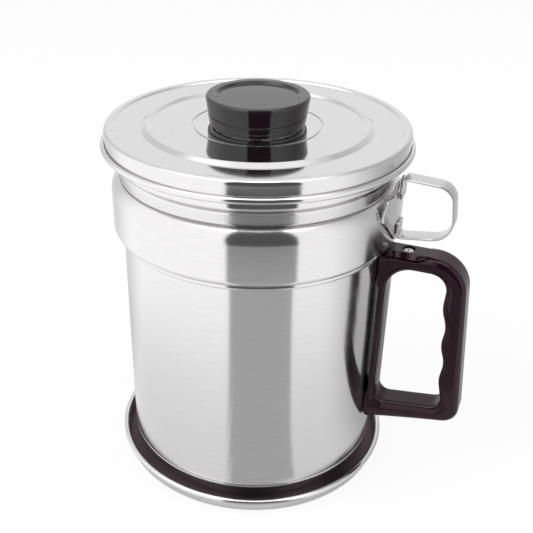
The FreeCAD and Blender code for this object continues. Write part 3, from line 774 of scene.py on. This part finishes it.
class POT_OT_strainer(Operator):
    """Lift-out strainer: flanged cup, woven wire disc and clamp ring"""
    bl_idname = "strainer_pot.strainer"
    bl_label = "Lift-out strainer"

    def execute(self, context):
        s, at = settings(), levels()
        p, half = s.strainer, at["half"]
        thick = s.sheet.thickness
        flange, bottom = at["cup"] + half, at["cup_bottom"] + half
        mouth, low = at["mouth"] - half, at["cup_low"] - half
        points = [(low - p.lip, bottom, 0), (low, bottom, p.bend), (mouth, flange, p.bend),
                  (p.flange, flange, 0)]
        cup = shell("strainer_body", bent_path(points))
        finish_piece(cup, made_material("satin_steel"), "strainer", "steel_satin",
                     "strainer_cup")
        outer = at["cup_low"] - thick - p.margin
        base = at["cup_bottom"] + thick + 0.7 * MM
        clamp = [(outer - p.ring, base, 0.2 * MM), (outer, base, 0.2 * MM),
                 (outer, base + thick, 0.2 * MM), (outer - p.ring, base + thick, 0.2 * MM)]
        ring = turned_mesh("clamp_ring", bent_path(clamp, 4, 0.1 * MM, closed=True),
                           s.sheet.turns, poles=False)
        finish_piece(ring, made_material("satin_steel"), "strainer", "steel_plain",
                     "mesh_ring")
        woven = woven_disc("wire_mesh", outer - p.ring * 0.5, base - 0.35 * MM, p.pitch, p.wire)
        finish_piece(woven, made_material("wire_steel"), "strainer", "steel_mesh",
                     "strainer_mesh")
        return {"FINISHED"}


def woven_disc(name, radius, z, pitch, wire):
    """Plain weave: wire k lies at k times the pitch and runs along its chord of the disc; its
    height is z plus or minus the wire's radius as a cosine of the distance run over the pitch,
    and its neighbour and the crossing wires take the other phase."""
    half_count = int(radius / pitch)
    grids = []
    for k in range(-half_count, half_count + 1):
        reach = math.sqrt(radius ** 2 - (k * pitch) ** 2)
        steps = max(int(2 * reach / pitch) * 2, 2)
        run = np.linspace(-reach, reach, steps + 1)
        wave = np.cos(math.pi * run / pitch + math.pi * (k % 2)) * wire
        corner = np.radians([45, 135, 225, 315])
        side = k * pitch + wire * np.cos(corner)[None] + 0 * run[:, None]
        rise = z + wave[:, None] + wire * np.sin(corner)[None]
        along = run[:, None] + 0 * side
        grids.append(np.stack([along, side, rise], -1))
        grids.append(np.stack([side, along, z - wave[:, None] + wire * np.sin(corner)[None]],
                              -1)[:, ::-1])
    points, faces, base = [], [], 0
    for grid in grids:
        runs, around = grid.shape[:2]
        last = (runs - 1) * around
        faces += (grid_quads(runs, around, turned=True) + base).tolist()
        faces += [[base, base + 1, base + 2, base + 3],
                  [base + last + 3, base + last + 2, base + last + 1, base + last]]
        points.append(grid.reshape(-1, 3))
        base += runs * around
    return mesh_object(name, np.vstack(points), faces)


class POT_OT_lid(Operator):
    """Lid: panel with a groove and a raised ring, rim ridge, flared skirt and rolled hem"""
    bl_idname = "strainer_pot.lid"
    bl_label = "Lid"

    def execute(self, context):
        s, at = settings(), levels()
        p, half = s.lid, at["half"]
        panel = at["lid"] + half
        ring, groove = panel + p.ring_height, p.groove_width / 2
        edge, ridge, rise = p.skirt - p.ridge_width, panel + p.ridge, p.rise / 2
        hem_z = panel - p.hem_drop
        hem_r = p.hem - p.hem_roll + half
        points = [(p.hole, panel, 0), (p.groove - groove, panel, 0.5 * MM),
                  (p.groove, panel - p.groove_depth, 0.6 * MM),
                  (p.groove + groove, panel, 0.5 * MM), (p.ring_in, panel, 0.5 * MM),
                  (p.ring_crest, ring, 0.7 * MM), (p.ring_out, panel - rise, 0.5 * MM),
                  (edge, panel + rise, s.sheet.fold),
                  (edge + p.ridge - rise, ridge, p.ridge_inner),
                  (p.skirt - half, ridge, p.ridge_outer), (hem_r, hem_z + 0.4 * MM, 0)]
        line = curl(bent_path(points), p.hem_roll - half, 290, left=True)
        piece = shell("lid_sheet", line, flip=True)
        finish_piece(piece, made_material("lid_steel"), "lid", "steel_satin", "lid_shell")
        return {"FINISHED"}


class POT_OT_knob(Operator):
    """Knob: tapered round moulding with a dished top and a well for its insert"""
    bl_idname = "strainer_pot.knob"
    bl_label = "Lid knob"

    def execute(self, context):
        s, at = settings(), levels()
        p = s.knob
        low, top = at["knob"], at["knob"] + p.height
        points = [(0, low + p.well_depth, 0), (p.well, low + p.well_depth, 0.2 * MM),
                  (p.well, low, 0.2 * MM), (p.foot, low, 0.3 * MM),
                  (p.foot, low + p.foot_height, 0.3 * MM),
                  (p.low, low + p.foot_height, 0.6 * MM), (p.top, top, p.edge),
                  (p.dish_mouth, top, 0.6 * MM), (p.dish, top - p.dish_depth, 0.7 * MM),
                  (0, top - p.dish_depth, 0)]
        piece = turned_mesh("knob_moulding", bent_path(points), s.sheet.turns)
        finish_piece(piece, made_material("knob_black"), "lid", "black_phenolic",
                     "lid_knob")
        return {"FINISHED"}


def resampled(line, count, weight=None):
    """The line at count points, spaced evenly in length times an optional local weight."""
    step = np.linalg.norm(np.diff(line, axis=0), axis=1)
    if weight is not None:
        step = step * weight((line[1:] + line[:-1]) / 2)
    run = np.concatenate([[0], np.cumsum(step)])
    at = np.linspace(0, run[-1], count)
    return np.stack([np.interp(at, run, line[:, 0]), np.interp(at, run, line[:, 1])], 1)


def handle_outlines():
    """The handle's outer and finger-hole outlines as four matching sides each, (x, z): lower
    arm, grip bar, upper arm and spine, met at the middles of their corners."""
    s, at = settings(), levels()
    p = s.handle
    wall = s.pot.radius + WELD
    top, low = at["handle"], at["handle"] - p.height
    root = low - p.root_drop
    slope = (p.low_reach - p.top_reach) / p.height

    def face(z):
        return s.pot.radius + p.top_reach + slope * (top - z)

    def low_line(x):
        return root + (x - wall) * p.root_drop / (face(low) - wall)

    back = s.pot.radius + p.gap
    rim_r = s.pot.radius - s.sheet.thickness + 2 * s.pot.roll + 0.6 * MM
    rim_z = at["pot_top"] - 2 * s.pot.roll - 0.6 * MM
    outer = [(wall, low_line(wall), 1.5 * MM), (face(low), low, 8.0 * MM),
             (face(top), top, 17.0 * MM), (rim_r, top, 0.8 * MM), (rim_r, rim_z, 0.5 * MM),
             (wall, rim_z, 0.5 * MM), (wall, top - p.gap_from_top, 0.4 * MM),
             (back, top - p.gap_from_top, 0.4 * MM), (back, root + p.gap_from_root, 0.4 * MM),
             (wall, root + p.gap_from_root, 0.4 * MM)]
    spine = s.pot.radius + p.gap + p.spine
    high_z, low_z = top - p.arm, low + p.low_arm_end
    hole = [(spine, root + p.low_arm_root, 5.0 * MM),
            (face(low_z) - p.grip + p.wave, low_z, 6.0 * MM)]
    for n in range(2, -3, -1):
        z = (high_z + low_z) / 2 - n * p.pitch / 2
        side = -1 if n % 2 == 0 else 1
        hole.append((face(z) - p.grip + side * p.wave, z, 18.0 * MM))
    hole += [(face(high_z) - p.grip + p.wave, high_z, 8.0 * MM), (spine, high_z, 12.0 * MM)]
    return (sides_of(bent_path(outer, 14, closed=True), outer[:4]),
            sides_of(bent_path(hole, 14, closed=True), hole[:2] + hole[-2:]))


def sides_of(loop, corners):
    """Cuts a closed line at its points nearest to the given corners."""
    cuts = [int(np.linalg.norm(loop - np.array(c[:2]), axis=1).argmin()) for c in corners]
    ring = np.roll(loop, -cuts[0], axis=0)
    cuts = [(c - cuts[0]) % len(loop) for c in cuts] + [len(loop)]
    ring = np.vstack([ring, ring[:1]])
    return [ring[a:b + 1] for a, b in zip(cuts[:-1], cuts[1:])]


class POT_OT_handle(Operator):
    """Side handle: D-shaped moulding with finger waves, ribbed upper arm and a screw sink"""
    bl_idname = "strainer_pot.handle"
    bl_label = "Side handle"

    def execute(self, context):
        s, at = settings(), levels()
        piece = handle_surface("handle_moulding")
        finish_piece(piece, made_material("handle_black"), "pot", "black_phenolic",
                     "handle_grip")
        p = s.handle
        screw = screw_surface("handle_cross_screw", s.pot.radius + p.screw_reach,
                              at["handle"] - 0.3 * MM, 2.6 * MM, 1.5 * MM, 6.3 * MM)
        finish_piece(screw, made_material("screw_steel"), "pot", "steel_bright",
                     "handle_screw")
        return {"FINISHED"}


# how the handle meets the pot, each a distance from the wall and the fade that follows: where
# its back edges lose a share of their rounding, and where its pot side follows the round wall
BACK_EDGE, BACK_FADE, BACK_SHARE = 4 * MM, 2 * MM, 0.35
FOLLOW_WALL, FOLLOW_FADE = 6 * MM, 3 * MM


def handle_surface(name):
    """For each place s round the D, the section runs from the hole's outline to the outer
    outline and is a rounded rectangle in (distance, y): its corners are quarter circles of
    the outer or hole rounding. The pot side follows the pot's round wall, and the upper arm
    is cut down to its side ledges and to the screw's sink by a height limit."""
    s, at = settings(), levels()
    p = s.handle
    outer_sides, hole_sides = handle_outlines()
    counts = (150, 280, 300, 170)
    centre = s.pot.radius + p.screw_reach

    def near_screw(q):
        """Closer points on the upper arm, the third side, where the screw sinks into it."""
        crowding, within = 1.6, 4.2 * MM
        return 1 + crowding * (np.abs(q[:, 0] - centre) < within)

    outer, hole = [], []
    for k, (a, b, n) in enumerate(zip(outer_sides, hole_sides, counts)):
        outer.append(resampled(a, n + 1, near_screw if k == 2 else None)[:-1])
        hole.append(resampled(b, n + 1)[:-1])
    outer, hole = np.vstack(outer), np.vstack(hole)
    reach = np.linalg.norm(outer - hole, axis=1)[:, None]
    along = (outer - hole) / reach
    half = p.width / 2
    quarter = np.linspace(0, math.pi / 2, 9)
    r_out, r_in = p.rounding, p.hole_rounding
    back = smooth_step((s.pot.radius + BACK_EDGE - outer[:, :1]) / BACK_FADE)
    r_out = r_out * (1 - BACK_SHARE * back)
    flat = np.linspace(-1, 1, 27)[1:-1]
    zero = 0 * reach
    out, back_in = np.array([0.15, 0.5, 0.85]), np.array([0.85, 0.5, 0.15])
    u = np.hstack([r_in - r_in * np.cos(quarter[::-1]) + zero,
                   (reach - r_out) * out + r_in * back_in,
                   reach - r_out + r_out * np.sin(quarter), reach + 0 * flat,
                   reach - r_out + r_out * np.cos(quarter),
                   (reach - r_out) * back_in + r_in * out,
                   r_in - r_in * np.sin(quarter) + zero, zero + 0 * flat[:9]])
    y = np.hstack([-half + r_in - r_in * np.sin(quarter[::-1]) + zero,
                   np.full((1, 3), -half) + zero, -half + r_out - r_out * np.cos(quarter),
                   flat * (half - r_out), half - r_out + r_out * np.sin(quarter),
                   np.full((1, 3), half) + zero, half - r_in + r_in * np.cos(quarter) + zero,
                   np.linspace(1, -1, 11)[1:-1] * (half - r_in) + zero])
    x = hole[:, :1] + along[:, :1] * u
    z = hole[:, 1:] + along[:, 1:] * u
    wall = s.pot.radius
    near = smooth_step((wall + FOLLOW_WALL - x) / FOLLOW_FADE)
    x = x - (wall - np.sqrt(wall ** 2 - y ** 2)) * near
    z = np.minimum(z, arm_limit(x, y))
    return tube_mesh(name, np.stack([x, y, z], -1), closed_run=True)


def arm_limit(x, y):
    """Greatest height allowed over (x, y): the ledge level beside the rib, whose end is a
    quarter circle, and the sink's floor round the screw; free elsewhere."""
    s, at = settings(), levels()
    p = s.handle
    side = (p.width - p.rib_width) / 2
    end = s.pot.radius + p.rib_end - side
    into = side - np.hypot(np.maximum(x - end, 0), p.width / 2 - np.abs(y))
    free, edge = 1 * MM, 0.25 * MM
    ramp_start, ramp = 7 * MM, 9 * MM
    fall = p.rib_height * (1 - smooth_step((x - end + ramp_start) / ramp))
    ledge = at["handle"] + free - (fall + free) * smooth_step(into / edge)
    away = np.hypot(x - s.pot.radius - p.screw_reach, y)
    sink = at["handle"] + free - (p.sink_depth + free) * smooth_step((p.sink - away) / edge + 0.5)
    ledge = np.where(x > end + side, at["handle"] + free, ledge)
    return np.minimum(ledge, sink)


def screw_surface(name, x, top, head, shank, length):
    """Turned screw: a shank, then a head whose top is a shallow dome, sunk along two crossed
    bars for the driver; height is the dome's less the recess where |x| or |y| is small."""
    under, brim, dome = top - 1.4 * MM, top - 0.5 * MM, 0.4 * MM
    bar_half, bar_reach, bar_depth = 0.42 * MM, 1.6 * MM, 0.8 * MM
    line = [(0, top - length, 0), (shank, top - length, 0.2 * MM), (shank, under, 0.1 * MM),
            (head, under, 0.2 * MM), (head, brim, 0.35 * MM), (0, top, 0)]
    section = bent_path(line, 6, 0.05 * MM)
    crown = np.linspace(head - 0.5 * MM, 0, 26)
    rise = top - dome * (crown / head) ** 2
    section = np.vstack([section[:-2], np.stack([crown, rise], 1)])
    piece = turned_mesh(name, section, 96)
    place = read_vertices(piece, "co")
    ax, ay = np.abs(place[:, 0]), np.abs(place[:, 1])
    bar = np.minimum(smooth_step((bar_half - np.minimum(ax, ay)) / (0.15 * MM)),
                     smooth_step((bar_reach - np.maximum(ax, ay)) / (0.3 * MM)))
    upper = place[:, 2] > top - 0.6 * MM
    place[:, 2] -= np.where(upper, bar * bar_depth, 0)
    place[:, 0] += x
    piece.data.vertices.foreach_set("co", place.ravel())
    piece.data.update()
    return piece


class POT_OT_strap(Operator):
    """Strap handle: shield plate rolled to the wide wall and a strip bent to a D on it"""
    bl_idname = "strainer_pot.strap"
    bl_label = "Strap handle"

    def execute(self, context):
        steel = made_material("strip_steel")
        finish_piece(plate_surface("shield_plate"), steel, "vessel", "steel_plain",
                     "strap_plate")
        finish_piece(strip_surface("strap_strip"), steel, "vessel", "steel_plain",
                     "strap_loop")
        return {"FINISHED"}


def strip_surface(name):
    """Strip carried along its bent centre line: at each point the section is a rectangle with
    rounded long edges, across the strip in y and along the line's normal."""
    s, at = settings(), levels()
    p = s.strap
    half = p.thickness / 2
    plate = s.vessel.radius + WELD + p.plate
    foot = plate + WELD + half
    upper, lower = s.vessel.radius + p.reach_high - half, s.vessel.radius + p.reach_low - half
    tab = at["ledge"] + p.plate_low + p.plate_high + p.tab_height
    high = tab + p.rise - half
    low = high - p.height + p.thickness
    line = bent_path([(foot, high - p.foot_high, 0), (foot, high, p.foot_bend),
                      (upper, high - p.fall, p.bend_high), (lower, low + p.climb, p.bend_low),
                      (foot, low, p.foot_bend), (foot, low + p.foot_low, 0)], 16)
    normal = normals_2d(line)
    edge = 0.4 * MM
    turn = np.radians(np.concatenate([np.linspace(a, a + 90, 5) for a in (0, 90, 180, 270)]))
    side = np.repeat([1, -1, -1, 1], 5) * (p.width / 2 - edge) + edge * np.cos(turn)
    out = np.repeat([1, 1, -1, -1], 5) * (half - edge) + edge * np.sin(turn)
    grid = np.stack([line[:, :1] + normal[:, :1] * out, side + 0 * line[:, :1],
                     line[:, 1:] + normal[:, 1:] * out], -1)
    return tube_mesh(name, grid)


def plate_surface(name):
    """Shield plate: at each height its half width comes from the shield's outline, and the
    section is a thin strip between two radii whose points lie at (sqrt(R^2 - y^2), y)."""
    s, at = settings(), levels()
    p = s.strap
    low = at["ledge"] + p.plate_low
    top = low + p.plate_high
    tab = top + p.tab_height
    outline = bent_path([(0, low, 0), (p.plate_width / 2, low + p.plate_wide, p.plate_side),
                         (p.plate_top / 2, top, p.plate_corner),
                         (p.tab_width / 2, top, p.tab_root), (p.tab_width / 2, tab, 1.0 * MM),
                         (0, tab, 0)], 10)
    tip = rounded_tip(outline, p.plate_tip)
    outline = np.vstack([tip, outline[outline[:, 1] > tip[-1, 1] + 0.2 * MM]])
    wide, z = outline[:, :1], outline[:, 1:]
    inner = s.vessel.radius + WELD
    across = np.linspace(-1, 1, 41)
    y = np.hstack([across * wide, (across * wide)[:, ::-1]])
    radius = np.hstack([inner + p.plate + 0 * across * wide, inner + 0 * across * wide])
    x = np.sqrt(radius ** 2 - y ** 2)
    return tube_mesh(name, np.stack([x, y, z + 0 * y], -1)[:, ::-1])


def rounded_tip(outline, radius):
    """Round lower end of the shield: a circle tangent to both flanks."""
    rise = unit(outline[1] - outline[0])
    flank = math.atan2(rise[1], rise[0])
    lift = radius / math.cos(flank) - radius
    angle = np.linspace(-math.pi / 2 + 0.02, -math.pi / 2 + flank, 10)
    shift = outline[0, 1] + lift + radius
    return np.stack([radius * np.cos(angle), shift + radius * np.sin(angle)], 1)


class POT_OT_small_steel(Operator):
    """Finishes the carried-over brackets, knob screw, washer and insert"""
    bl_idname = "strainer_pot.small_steel"
    bl_label = "Brackets and fasteners"

    def execute(self, context):
        finishes = {"upper_bracket": "strip_steel", "lower_bracket": "strip_steel",
                    "knob_screw": "screw_steel", "knob_washer": "screw_steel",
                    "knob_insert": "turned_brass"}
        for node, finish in finishes.items():
            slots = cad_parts[node].data.materials
            slots.clear()
            slots.append(made_material(finish))
        return {"FINISHED"}


# ---- stage ------------------------------------------------------------------

# plain studio that reflections see: soft panels round the pot, each (middle and half width in
# degrees of azimuth from the camera's side, positive to the right; brightness)
ROOM = 0.6
PANEL_FADE = 50.0
PANELS = ((-60.0, 40.0, 1.3), (40.0, 10.0, 1.2), (180.0, 10.0, 1.0))
OPENING_NEAR, OPENING_FAR = 0.5, 0.1
CEILING, CEILING_LAMP = 1.2, 3.0
ROOM_REACH = 2.4        # the room's radius and its height
TABLE_EDGE = 0.35       # how far the table runs toward the camera, from the pot's axis
# the opening's left and right edges: x where the edge meets y = 0, and its slope to |y|
LEFT_EDGE, LEFT_SLOPE = 0.015, 0.4
RIGHT_EDGE, RIGHT_SLOPE = 0.01, 0.6
# shading of the floor round the pot: its depth, the radius it fades from, and the fade
FOOT_SHADE, FOOT_RADIUS, FOOT_FADE = 0.3, 0.1, 0.15
# the light under the ceiling: ring's radius and width, then its middle, half width and fade in
# degrees of azimuth
LAMP_RING, LAMP_WIDTH = 1.05, 0.62
LAMP_MIDDLE, LAMP_HALF, LAMP_FADE = -20, 60, 70
FLOOR_REACH = 6.0
FLOOR_WHITE = 1.03      # brightness of the plain white that the camera sees as floor
FLOOR_EVEN = 0.85       # how much of the floor is that white, the rest is the lit floor
WORLD_FILL = 0.55       # light of the world on diffuse surfaces
# each soft lamp: name, place with the camera's side at -Y, width, power
LAMPS = (("left_soft", (-1.3, -0.5, 1.0), 1.4, 16.0), ("right_soft", (1.4, -0.2, 0.9), 1.2, 11.0))
LAMP_HEIGHT = 1.6
LENS, SHIFT_X, SHIFT_Y = 57.79, 0.0779, 0.0629


def turned_about(points, azimuth):
    """Stage points given with the camera's side at -Y, turned to the camera's azimuth."""
    c, s = math.cos(azimuth), math.sin(azimuth)
    x, y, z = np.asarray(points, float).T
    return np.stack([x * c - y * s, x * s + y * c, z], 1)


class POT_OT_stage(Operator):
    """Pale floor, soft lamps, what reflections see of the room, and the camera"""
    bl_idname = "strainer_pot.stage"
    bl_label = "Stage"

    def execute(self, context):
        stage = settings().stage
        floor_and_world(stage)
        lamps(stage)
        surroundings(stage)
        camera(stage)
        context.scene.view_settings.view_transform = "Standard"
        return {"FINISHED"}


def floor_and_world(stage):
    """Pale floor that the camera sees as nearly plain white with the pot's shadow, and a
    white world whose fill on diffuse surfaces is weaker than what camera and gloss see."""
    corners = [(x * FLOOR_REACH, y * FLOOR_REACH, 0)
               for x, y in ((-1, -1), (1, -1), (1, 1), (-1, 1))]
    floor = mesh_object("floor", corners, [[0, 1, 2, 3]], smooth=False)
    material, tree, shader = node_tree("floor")
    shader.inputs["Base Color"].default_value = (*stage.floor, 1)
    shader.inputs["Roughness"].default_value = 0.9
    shader.inputs["Specular IOR Level"].default_value = 0.0
    path = tree.nodes.new("ShaderNodeLightPath")
    glow = tree.nodes.new("ShaderNodeEmission")
    mix = tree.nodes.new("ShaderNodeMixShader")
    seen = math_node(tree, "MULTIPLY", path.outputs["Is Camera Ray"], FLOOR_EVEN)
    tree.links.new(seen, mix.inputs[0])
    tree.links.new(shader.outputs[0], mix.inputs[1])
    tree.links.new(glow.outputs[0], mix.inputs[2])
    glow.inputs["Strength"].default_value = FLOOR_WHITE
    tree.links.new(mix.outputs[0], tree.nodes["Material Output"].inputs[0])
    floor.data.materials.append(material)
    world = bpy.data.worlds.new("studio")
    bpy.context.scene.world = world
    world.use_nodes = True
    tree = world.node_tree
    back = tree.nodes["Background"]
    back.inputs["Color"].default_value = (1, 1, 1, 1)
    path = tree.nodes.new("ShaderNodeLightPath")
    seen = math_node(tree, "MAXIMUM", path.outputs["Is Camera Ray"],
                     math_node(tree, "MAXIMUM", path.outputs["Is Glossy Ray"],
                               path.outputs["Is Transmission Ray"]))
    tree.links.new(spread(tree, seen, WORLD_FILL, 1.0), back.inputs["Strength"])


def lamps(stage):
    """Two soft lamps aimed at the pot, which polished surfaces don't show."""
    for name, at, width, power in LAMPS:
        lamp = bpy.data.lights.new(name, "AREA")
        lamp.shape = "RECTANGLE"
        lamp.size, lamp.size_y = width, LAMP_HEIGHT
        lamp.energy = power
        holder = bpy.data.objects.new(name, lamp)
        bpy.context.scene.collection.objects.link(holder)
        place = turned_about([at], stage.azimuth)[0]
        holder.location = place
        holder.visible_glossy = False
        aim = np.array([0, 0, 0.1]) - np.array(place)
        holder.rotation_euler = (math.atan2(math.hypot(aim[0], aim[1]), -aim[2]), 0,
                                 math.atan2(-aim[0], aim[1]))


def surroundings(stage):
    """Room that only reflections see: floor, round wall and ceiling as one turned surface. It
    is grey with soft panels: a panel's share falls smoothly from its half width over the fade.
    The floor is shaded round the pot's foot, a soft light hangs under the ceiling, and the
    room is open toward the camera between x = 15 mm - 0.4 |y| and x = 0.6 |y| - 10 mm, half
    bright on the table and dark beyond its edge."""
    reach = ROOM_REACH
    floor_r = np.array([0.0745, 0.1, 0.15, 0.2, 0.25, 0.3, 0.35, 0.37, 0.4, 0.43, 0.6, 1.0, 1.6])
    ceiling_r = np.array([2.2, 2.0, 1.85, 1.75, 1.65, 1.55, 1.45, 1.35, 1.25, 1.15, 1.05, 0.9,
                          0.6, 0.3, 0.02])
    wall_z = np.linspace(0, reach, 9)
    r = np.concatenate([floor_r, reach + 0 * wall_z, ceiling_r])[:, None]
    z = np.concatenate([0 * floor_r + 0.0004, wall_z, reach + 0 * ceiling_r])[:, None]
    turns = 720
    a = np.linspace(-math.pi, math.pi, turns, endpoint=False)[None]
    x, y, z = r * np.sin(a), -r * np.cos(a), z + 0 * a
    sides = ROOM + 0 * x
    for middle, half_width, level in PANELS:
        away = np.abs((np.degrees(a) - middle + 180) % 360 - 180)
        sides = sides + (level - ROOM) * (1 - smooth_step((away - half_width) / PANEL_FADE))
    overhead = np.clip(z / reach, 0, 1) * np.clip(1.9 - r, 0, 1)
    sides = sides * (1 - overhead) + CEILING * overhead
    on_floor, on_ceiling = z < 0.1, z > reach - 0.1
    foot = 1 - smooth_step((r - FOOT_RADIUS) / FOOT_FADE)
    sides = sides * (1 - FOOT_SHADE * on_floor * foot)
    lamp = on_ceiling * np.exp(-((r - LAMP_RING) / LAMP_WIDTH) ** 4)
    away = np.abs(np.degrees(a) - LAMP_MIDDLE)
    lamp = lamp * (1 - smooth_step((away - LAMP_HALF) / LAMP_FADE))
    sides = sides * (1 - lamp) + CEILING_LAMP * lamp
    depth = np.minimum(x - LEFT_EDGE + LEFT_SLOPE * np.abs(y),
                       RIGHT_SLOPE * np.abs(y) - RIGHT_EDGE - x) / r
    opening = smooth_step(depth / 0.05 + 0.5) * (y < 0)
    opening = opening * (1 - smooth_step((1.3 - r) * 4 * (z > 1)))
    far = smooth_step((r - TABLE_EDGE) / 0.05)
    dark = OPENING_NEAR * (1 - far) + OPENING_FAR * far
    glow = sides * (1 - opening) + dark * opening
    rows = len(r)
    points = np.stack([x, y, z], -1).reshape(-1, 3)
    room = mesh_object("surroundings", turned_about(points, stage.azimuth),
                       grid_quads(rows, turns).tolist(), smooth=False)
    paint = room.data.color_attributes.new("glow", "FLOAT_COLOR", "POINT")
    grey = np.repeat(glow.reshape(-1, 1), 3, axis=1)
    paint.data.foreach_set("color", np.hstack([grey, 1 + 0 * grey[:, :1]]).ravel())
    material = bpy.data.materials.new("surroundings")
    material.use_nodes = True
    tree = material.node_tree
    tree.nodes.clear()
    source = tree.nodes.new("ShaderNodeAttribute")
    source.attribute_name = "glow"
    light = tree.nodes.new("ShaderNodeEmission")
    tree.links.new(source.outputs["Color"], light.inputs["Color"])
    out = tree.nodes.new("ShaderNodeOutputMaterial")
    tree.links.new(light.outputs[0], out.inputs[0])
    room.data.materials.append(material)
    for ray in ("camera", "diffuse", "shadow", "transmission", "volume_scatter"):
        setattr(room, "visible_" + ray, False)


def camera(stage):
    lens = bpy.data.cameras.new("camera")
    lens.sensor_width = 36.0
    lens.lens = LENS
    lens.shift_x = SHIFT_X
    lens.shift_y = SHIFT_Y
    holder = bpy.data.objects.new("camera", lens)
    bpy.context.scene.collection.objects.link(holder)
    holder.location = turned_about([(0, -stage.distance, stage.height)], stage.azimuth)[0]
    holder.rotation_euler = (math.pi / 2 - stage.pitch, 0, stage.azimuth + stage.yaw)
    bpy.context.scene.camera = holder


# ---- add-on -----------------------------------------------------------------

class SettingsProps(PropertyGroup):
    sheet: PointerProperty(type=SheetProps)
    saucer: PointerProperty(type=SaucerProps)
    pot: PointerProperty(type=PotProps)
    vessel: PointerProperty(type=VesselProps)
    strainer: PointerProperty(type=StrainerProps)
    lid: PointerProperty(type=LidProps)
    knob: PointerProperty(type=KnobProps)
    handle: PointerProperty(type=HandleProps)
    strap: PointerProperty(type=StrapProps)
    finish: PointerProperty(type=FinishProps)
    stage: PointerProperty(type=StageProps)


OPERATORS = (POT_OT_saucer, POT_OT_pot, POT_OT_vessel, POT_OT_strainer, POT_OT_lid,
             POT_OT_knob, POT_OT_handle, POT_OT_strap, POT_OT_small_steel, POT_OT_stage)


class POT_PT_panel(Panel):
    """Lists the pieces and their sizes"""
    bl_idname = "POT_PT_panel"
    bl_label = "Grease strainer pot"
    bl_space_type = "VIEW_3D"
    bl_region_type = "UI"
    bl_category = "Strainer Pot"

    def draw(self, context):
        for operator in OPERATORS:
            self.layout.operator(operator.bl_idname)
        for group in settings().bl_rna.properties:
            if group.type == "POINTER" and group.identifier != "rna_type":
                box = self.layout.box()
                held = getattr(settings(), group.identifier)
                for field in held.bl_rna.properties:
                    if field.identifier not in {"rna_type", "name"}:
                        box.prop(held, field.identifier)


CLASSES = (SheetProps, SaucerProps, PotProps, VesselProps, StrainerProps, LidProps, KnobProps,
           HandleProps, StrapProps, FinishProps, StageProps, SettingsProps, *OPERATORS,
           POT_PT_panel)


def register():
    for item in CLASSES:
        bpy.utils.register_class(item)
    bpy.types.Scene.strainer_pot = PointerProperty(type=SettingsProps)


def unregister():
    del bpy.types.Scene.strainer_pot
    for item in reversed(CLASSES):
        bpy.utils.unregister_class(item)


def main():
    register()
    for operator in OPERATORS:
        group, name = operator.bl_idname.split(".")
        getattr(getattr(bpy.ops, group), name)()


if __name__ == "__main__":
    main()
